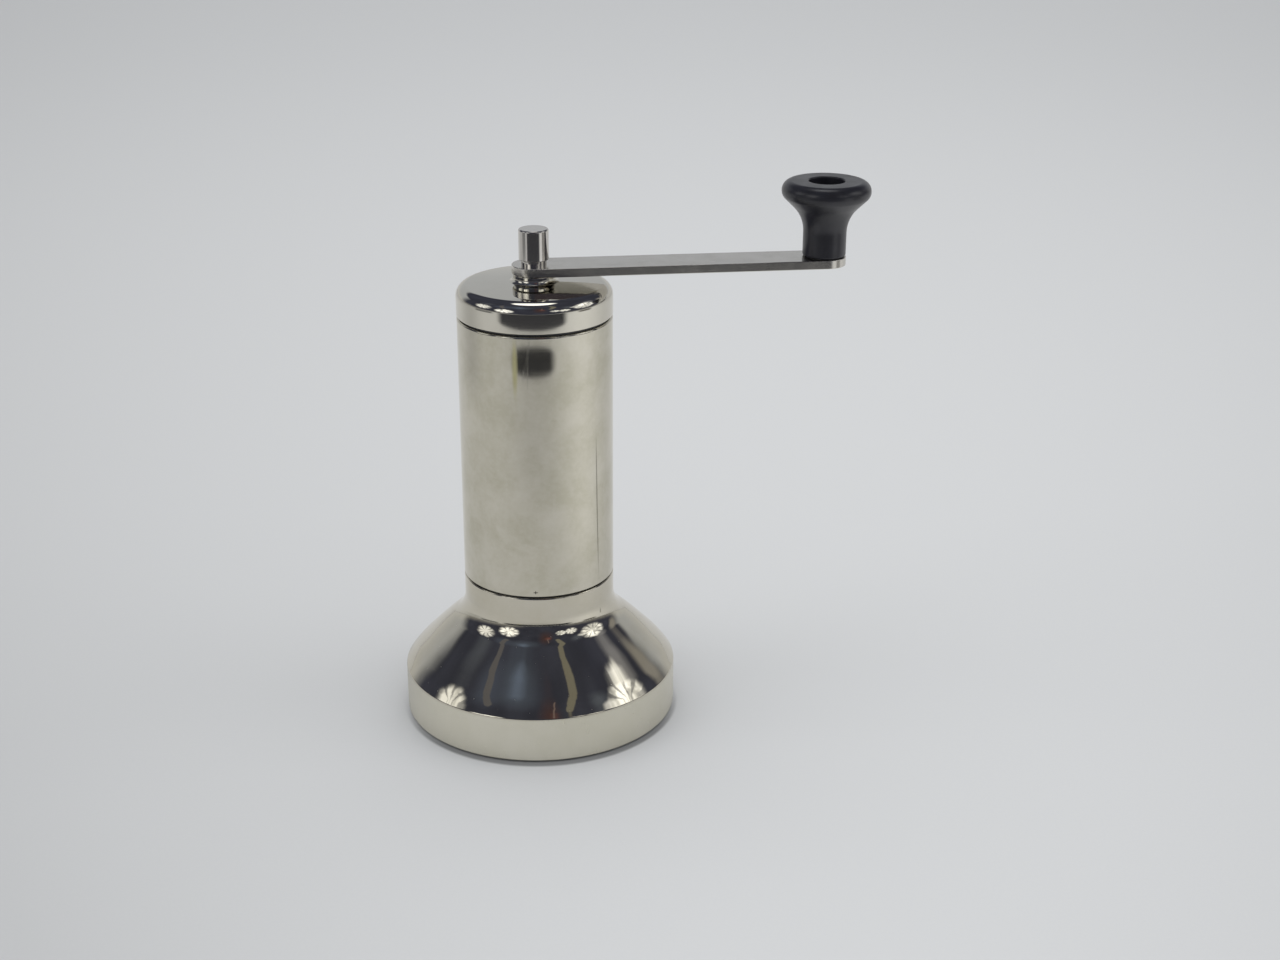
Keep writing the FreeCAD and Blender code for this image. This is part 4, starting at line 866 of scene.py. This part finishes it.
roomLook = {
    "waver": 0.06,                       # how far outlines waver, and the scale of it
    "waverScale": 9.0,
    "camera": (0.55, 0.555, 0.56),       # what the camera sees above the floor
    "fill": (0.78, 0.79, 0.80),          # light from all sides
    "dark": (0.048, 0.051, 0.073),
    "murk": (3.5, 0.6, 1.6),             # scale of the dark's clouds, their darkest and palest factor
    "haze": (0.42, 0.41, 0.39),          # near the horizon, except behind the camera
    "hazeRise": (9.0, -4.0),             # elevation where it starts, and where it is full
    "hazeTurn": (160.0, 130.0),          # the same for the azimuth to either side
    "sweep": (0.52, 0.535, 0.56),        # pale paper behind the mill
    "sweepFoot": (0.61, 0.61, 0.60),     # and where it meets the floor
    "sweepFootRise": (16.0, 0.0),
    "sweepRise": (28.0, 22.5),           # elevation of its upper edge, and where it is full
    "sweepTurn": (4.0, 65.0, 0.30),      # azimuth, half width, softness
    "sweepTall": 900.0,                  # so that only its width and its lean end it
    "sweepLean": (0.35, 6.0),            # fall of its upper edge per degree to the right, over how many
    # (azimuth, elevation, half width, half height, softness, colour)
    "patches": [
        (-143.0, 58.0, 42.0, 17.0, 1.0, (0.10, 0.12, 0.165)),
        (-143.0, 60.0, 16.0, 8.0, 1.0, (0.16, 0.20, 0.29)),
        (-112.0, 48.0, 22.0, 14.0, 1.0, (0.09, 0.105, 0.15)),
        (-80.0, 46.0, 16.0, 14.0, 1.0, (0.10, 0.11, 0.14)),
        (125.0, 42.0, 14.0, 12.0, 1.0, (0.12, 0.135, 0.17)),
        (176.0, 38.0, 15.0, 30.0, 1.0, (0.085, 0.050, 0.050)),
        (172.0, 40.0, 7.0, 6.0, 0.9, (0.20, 0.09, 0.08)),
        (66.0, 20.0, 9.0, 15.0, 0.7, (0.34, 0.325, 0.31)),
        (84.0, 38.0, 12.0, 12.0, 0.8, (0.30, 0.30, 0.33)),
        (94.0, 40.0, 9.0, 4.0, 0.8, (1.2, 1.2, 1.2)),
        (120.0, 35.0, 8.0, 5.0, 0.7, (0.8, 0.8, 0.82)),
    ],
    # (azimuth and elevation of one end, of the other end, half width, colour)
    "strips": [
        ((139.5, 68.0), (143.5, 58.0), 2.7, (0.25, 0.235, 0.19)),
        ((143.5, 58.0), (156.0, 45.5), 2.7, (0.25, 0.235, 0.19)),
        ((-101.0, 59.0), (-107.0, 53.0), 2.4, (0.15, 0.145, 0.155)),
        ((-107.0, 53.0), (-121.0, 43.0), 2.4, (0.15, 0.145, 0.155)),
        ((169.0, 54.0), (172.5, 42.0), 0.6, (0.24, 0.18, 0.17)),
    ],
    "stripEdge": (1.1, 0.8),             # half widths at which a strip ends, and where it is full
    # (azimuth, elevation, radius, ribs, brightness)
    "umbrellas": [
        (-91.0, 25.0, 15.5, 9, 1.4),
        (-129.5, 20.0, 16.5, 9, 2.1),
        (138.5, 21.0, 10.0, 7, 1.5),
        (154.0, 24.0, 8.0, 7, 1.7),
        (103.0, 27.0, 19.5, 10, 2.1),
    ],
    "umbrellaSoft": 0.4,
    "umbrellaTint": (1.0, 1.0, 0.99),
    "folds": (6.0, 0.36, 0.56, 0.45),    # scale of the cloth's folds, noise at darkest and lightest, factor
    "ribs": (0.7, 1.35, 0.8, 0.35),      # how ribs widen outwards, start, softness, darkest factor
    # overhead lamp: azimuth, elevation, radius, softness, colour
    "overhead": (1.0, 78.0, 13.0, 2.0, (2.2, 2.2, 2.2)),
}
inDegrees = 180 / math.pi


def turnedFrom(azimuth, other):
    # Difference of two azimuths, the nearer way round.
    return calc("WRAP", minus(azimuth, other), -180.0, 180.0)


def skyPatchMask(given):
    # 1 inside an ellipse on the sky and 0 outside: distance from its centre in half widths and half
    # heights. Ribs, where it has any, darken it along lines that are thin at the hub and widen outwards.
    across = over(turnedFrom(given["Azimuth"], given["CentreAzimuth"]), given["HalfWidth"])
    rise = over(minus(given["Elevation"], given["CentreElevation"]), given["HalfHeight"])
    distance = hypotenuse(across, rise)
    inside = ramp(distance, 1.0, minus(1.0, given["Softness"]))
    widening, start, soft, darkness = roomLook["ribs"]
    petals = calc("COSINE", times(calc("ARCTAN2", rise, across), given["Ribs"]))
    narrow = minus(times(distance, widening), start)
    ribs = ramp(petals, narrow, add(narrow, soft), darkness, 1.0)
    noRibs = calc("LESS_THAN", given["Ribs"], 0.5)
    return {"Mask": times(inside, calc("MAXIMUM", ribs, noRibs))}


def skyStripMask(given):
    # 1 along a straight strip on the sky and 0 outside: distance to the nearest point of the segment
    # between its two ends, with azimuths shortened by the cosine of the strip's middle elevation.
    shorten = calc("COSINE", times(add(given["FromElevation"], given["ToElevation"]), math.radians(0.5)))
    across = times(turnedFrom(given["Azimuth"], given["FromAzimuth"]), shorten)
    rise = minus(given["Elevation"], given["FromElevation"])
    runAcross = times(minus(given["ToAzimuth"], given["FromAzimuth"]), shorten)
    runUp = minus(given["ToElevation"], given["FromElevation"])
    along = add(times(across, runAcross), times(rise, runUp))
    length = add(times(runAcross, runAcross), times(runUp, runUp))
    share = calc("DIVIDE", along, length, clamp=True)
    distance = hypotenuse(minus(across, times(share, runAcross)), minus(rise, times(share, runUp)))
    return {"Mask": ramp(over(distance, given["HalfWidth"]), *roomLook["stripEdge"])}


skyPatch = makeGroup("skyPatch", {
    "Azimuth": 0.0, "Elevation": 0.0, "CentreAzimuth": 0.0, "CentreElevation": 0.0,
    "HalfWidth": 10.0, "HalfHeight": 10.0, "Softness": 0.3, "Ribs": 0.0,
}, skyPatchMask)
skyStrip = makeGroup("skyStrip", {
    "Azimuth": 0.0, "Elevation": 0.0, "FromAzimuth": 0.0, "FromElevation": 0.0,
    "ToAzimuth": 0.0, "ToElevation": 0.0, "HalfWidth": 2.0,
}, skyStripMask)


def rayKinds(tree):
    # 1 for rays that a mirror or a glass sends, and 1 for rays from the camera
    path = tree.nodes.new("ShaderNodeLightPath").outputs
    return calc("MAXIMUM", path["Is Glossy Ray"], path["Is Transmission Ray"]), path["Is Camera Ray"]


def wayTo(azimuth, elevation):
    # Unit vector towards an azimuth and elevation.
    turn, rise = math.radians(azimuth), math.radians(elevation)
    return np.array([math.sin(turn) * math.cos(rise), math.cos(turn) * math.cos(rise), math.sin(rise)])


def makeRoom(look):
    world = bpy.data.worlds.new("room")
    world.use_nodes = True
    tree = world.node_tree
    tree.nodes.clear()
    # the room is seen in metal polished by hand, so its outlines waver a little
    straight = tree.nodes.new("ShaderNodeTexCoord").outputs["Generated"]
    waver = vectorMath("SUBTRACT", noise(straight, look["waverScale"], 2.0)[1], (0.5, 0.5, 0.5))[0]
    bent = vectorMath("ADD", straight, scaled(waver, look["waver"]))[0]
    bent = addNode("ShaderNodeVectorMath", {0: bent}, operation="NORMALIZE")[0]
    x, y, z = parts(bent)
    azimuth = times(calc("ARCTAN2", x, y), inDegrees)
    elevation = times(calc("ARCSINE", z), inDegrees)
    where = {"Azimuth": azimuth, "Elevation": elevation}

    def patch(turn, rise, wide, tall, soft, ribs=0.0):
        return placeGroup(skyPatch, {
            **where, "CentreAzimuth": turn, "CentreElevation": rise, "HalfWidth": wide, "HalfHeight": tall,
            "Softness": soft, "Ribs": ribs})["Mask"]

    # darkness with clouds, and a haze near the horizon at the sides
    scale, *factors = look["murk"]
    clouds = [[channel * factor for channel in look["dark"]] for factor in factors]
    shade = mix(noise(straight, scale, 2.0)[0], *clouds)
    haze = times(ramp(elevation, *look["hazeRise"]),
                 ramp(calc("ABSOLUTE", azimuth), *look["hazeTurn"]))
    shade = mix(haze, shade, look["haze"])
    # paper sweep behind, with a leaning upper edge
    middle, wide, soft = look["sweepTurn"]
    slope, reach = look["sweepLean"]
    lean = times(slope, calc("MINIMUM", reach, calc("MAXIMUM", -reach, minus(azimuth, middle))))
    sweepMask = times(patch(middle, 0.0, wide, look["sweepTall"], soft),
                      ramp(add(elevation, lean), *look["sweepRise"]))
    sweep = mix(ramp(elevation, *look["sweepFootRise"]), look["sweep"], look["sweepFoot"])
    shade = mix(sweepMask, shade, sweep)
    for turn, rise, wide, tall, soft, colour in look["patches"]:
        shade = mix(patch(turn, rise, wide, tall, soft), shade, colour)
    for (fromTurn, fromRise), (toTurn, toRise), wide, colour in look["strips"]:
        mask = placeGroup(skyStrip, {**where, "FromAzimuth": fromTurn, "FromElevation": fromRise,
                                     "ToAzimuth": toTurn, "ToElevation": toRise, "HalfWidth": wide})["Mask"]
        shade = mix(mask, shade, colour)
    # umbrellas, uneven with folds and gaps of the cloth
    scale, start, full, darkest = look["folds"]
    folds = ramp(noise(straight, scale, 2.0)[0], start, full, darkest, 1.0)
    for turn, rise, radius, ribs, bright in look["umbrellas"]:
        wide = radius / math.cos(math.radians(rise))
        mask = patch(turn, rise, wide, radius, look["umbrellaSoft"], ribs)
        cloth = [bright * channel for channel in look["umbrellaTint"]]
        shade = mix(mask, shade, mix(folds, (0, 0, 0), cloth))
    turn, rise, radius, soft, colour = look["overhead"]
    near = vectorMath("DOT_PRODUCT", bent, wayTo(turn, rise))["Value"]
    disc = ramp(near, math.cos(math.radians(radius + soft)), math.cos(math.radians(radius - soft)))
    shade = mix(disc, shade, colour)
    mirrored, direct = rayKinds(tree)
    seen = mix(direct, look["fill"], look["camera"])
    background = addNode("ShaderNodeBackground", {"Color": mix(mirrored, seen, shade)})[0]
    addNode("ShaderNodeOutputWorld", {0: background})
    scene.world = world


makeRoom(roomLook)


# Floor: pale paper. In mirrors it ends in front of the mill, with dark things lying near that edge.

floorLook = {
    "half": 6.0,
    "colour": (0.670, 0.676, 0.682),
    "mirrored": (0.675, 0.67, 0.665),
    "roughness": 0.9,
    "specular": 0.1,
    "fibre": (900.0, 0.985, 0.03),       # scale, lowest factor and range of the paper's fibres
    # shade along lines that fan out from a point in front of the mill
    "fan": {
        "distance": 0.62,        # from the mill to that point
        "nearest": 0.05,         # least distance from the point that counts
        "palest": 0.18,          # slope of the line without shade
        "growth": 0.78,          # of the shade, with the square of the slope's difference from that
        "most": 0.2,
        "fade": (-0.45, -0.18),  # y where the shade starts, and where it is full
    },
    # painted light and shade of the mirrored paper, brighter towards the lamps and darker in shade: azimuth,
    # half width, factor, distance where it starts and is full
    "sheens": [
        (-170.0, 50.0, 0.83, 0.14, 0.32),
        (113.0, 55.0, 1.36, 0.07, 0.22),
        (-62.0, 60.0, 0.80, 0.12, 0.07),
        (-70.0, 34.0, 0.76, 0.33, 0.43),
    ],
    # dark and coloured things mirrored only: azimuth and half width, lowest and highest distance from the
    # mill, softness of azimuth and of distance, colour
    "things": [
        (-172.0, 48.0, 0.500, 3.0, 6.0, 0.002, (0.055, 0.055, 0.063)),
        (-172.0, 40.0, 0.60, 3.0, 4.0, 0.02, (0.050, 0.050, 0.056)),
        (108.0, 11.0, 0.60, 3.0, 4.0, 0.02, (0.22, 0.21, 0.20)),
        (-98.0, 15.0, 0.60, 3.0, 4.0, 0.02, (0.22, 0.22, 0.22)),
        (-173.0, 29.0, 0.413, 0.470, 7.0, 0.004, (0.038, 0.038, 0.042)),
        (-146.0, 3.5, 0.39, 0.47, 3.5, 0.02, (0.50, 0.49, 0.32)),
        (88.0, 1.1, 0.15, 0.29, 1.0, 0.03, (0.36, 0.36, 0.35)),
    ],
    "cornerDrawn": 0.011,    # how far a thing's corners draw back, and with what power of the way there
    "cornerPower": 3.0,
    # deep shade where the rim stands: distance where it is full and where it ends, its factor, its shift
    # to the front, and between which y it fades in
    "contact": (0.0476, 0.0491, 0.42, 0.0016, (0.005, -0.035)),
}


def makeFloor(look):
    half = look["half"]
    mesh = bpy.data.meshes.new("floor")
    square = [(-half, -half, 0), (half, -half, 0), (half, half, 0), (-half, half, 0)]
    mesh.from_pydata(square, [], [(0, 1, 2, 3)])
    floor = bpy.data.objects.new("floor", mesh)
    scene.collection.objects.link(floor)
    material, place = newMaterial("palePaper")
    x, y = parts(place)[:2]
    turn = times(calc("ARCTAN2", x, y), inDegrees)
    away = hypotenuse(x, y)

    scale, lowest, spread = look["fibre"]
    fibre = add(lowest, times(noise(place, scale, 3.0)[0], spread))
    fan = look["fan"]
    aside = minus(over(x, calc("MAXIMUM", add(y, fan["distance"]), fan["nearest"])), fan["palest"])
    fall = calc("MINIMUM", fan["most"], times(aside, aside, fan["growth"]))
    fall = times(fall, ramp(y, *fan["fade"]))
    paper = mix(times(minus(1.0, fall), fibre), (0, 0, 0), look["colour"])
    inner, outer, factor, shift, fade = look["contact"]
    fromFoot = hypotenuse(x, add(y, shift))
    shade = times(ramp(fromFoot, outer, inner, 0.0, 1 - factor), ramp(y, *fade))
    paper = mix(shade, paper, (0, 0, 0))

    # painted light and shade on the paper as the steel mirrors it
    lightAndShade = 1.0
    for azimuth, wide, factor, start, full in look["sheens"]:
        apart = calc("ABSOLUTE", turnedFrom(turn, azimuth))
        change = times(ramp(apart, wide, 0.0, 0.0, factor - 1), ramp(away, start, full))
        lightAndShade = times(lightAndShade, add(1.0, change))
    # half the painted light and shade mixes black with twice the colour, so that it can brighten too
    mirror = mix(times(lightAndShade, 0.5), (0, 0, 0), [channel * 2 for channel in look["mirrored"]])
    for azimuth, wide, near, far, soft, softAway, colour in look["things"]:
        apart = calc("ABSOLUTE", turnedFrom(turn, azimuth))
        # both edges draw back towards the sides, so that the corners are round
        corner = times(look["cornerDrawn"], calc("POWER", over(apart, wide), look["cornerPower"]))
        mask = times(ramp(apart, wide + soft, wide - soft),
                     ramp(minus(away, corner), near - softAway, near + softAway),
                     ramp(add(away, corner), far + softAway, far - softAway))
        mirror = mix(mask, mirror, colour)
    shade = mix(rayKinds(material.node_tree)[0], paper, mirror)
    shader = addNode("ShaderNodeBsdfPrincipled", {
        "Base Color": shade, "Roughness": look["roughness"], "Specular IOR Level": look["specular"]})[0]
    addNode("ShaderNodeOutputMaterial", {0: shader})
    mesh.materials.append(material)


makeFloor(floorLook)


# Lamps stand where the umbrellas are; the steel mirrors the room instead of them

lampSettings = [
    # (name, azimuth, elevation, distance, size, watts)
    ("leftLamp", -98.0, 36.0, 1.6, 1.1, 3.7),
    ("rightLamp", 102.0, 36.0, 1.6, 1.1, 2.9),
    ("topLamp", 5.0, 72.0, 1.6, 0.9, 2.4),
]


def makeLamps(settings):
    for name, azimuth, elevation, distance, spread, watts in settings:
        data = bpy.data.lights.new(name, "AREA")
        data.shape = "DISK"
        data.size = spread
        data.energy = watts
        lamp = bpy.data.objects.new(name, data)
        back = wayTo(azimuth, elevation)
        side = unit(np.cross([0.0, 0.0, 1.0], back))
        axes = np.stack([side, np.cross(back, side), back], axis=1)
        lamp.matrix_world = Matrix.Translation(back * distance) @ Matrix(axes.tolist()).to_4x4()
        lamp.visible_glossy = False
        scene.collection.objects.link(lamp)


makeLamps(lampSettings)
scene.view_settings.view_transform = "Standard"
print("room, floor and lamps ready")
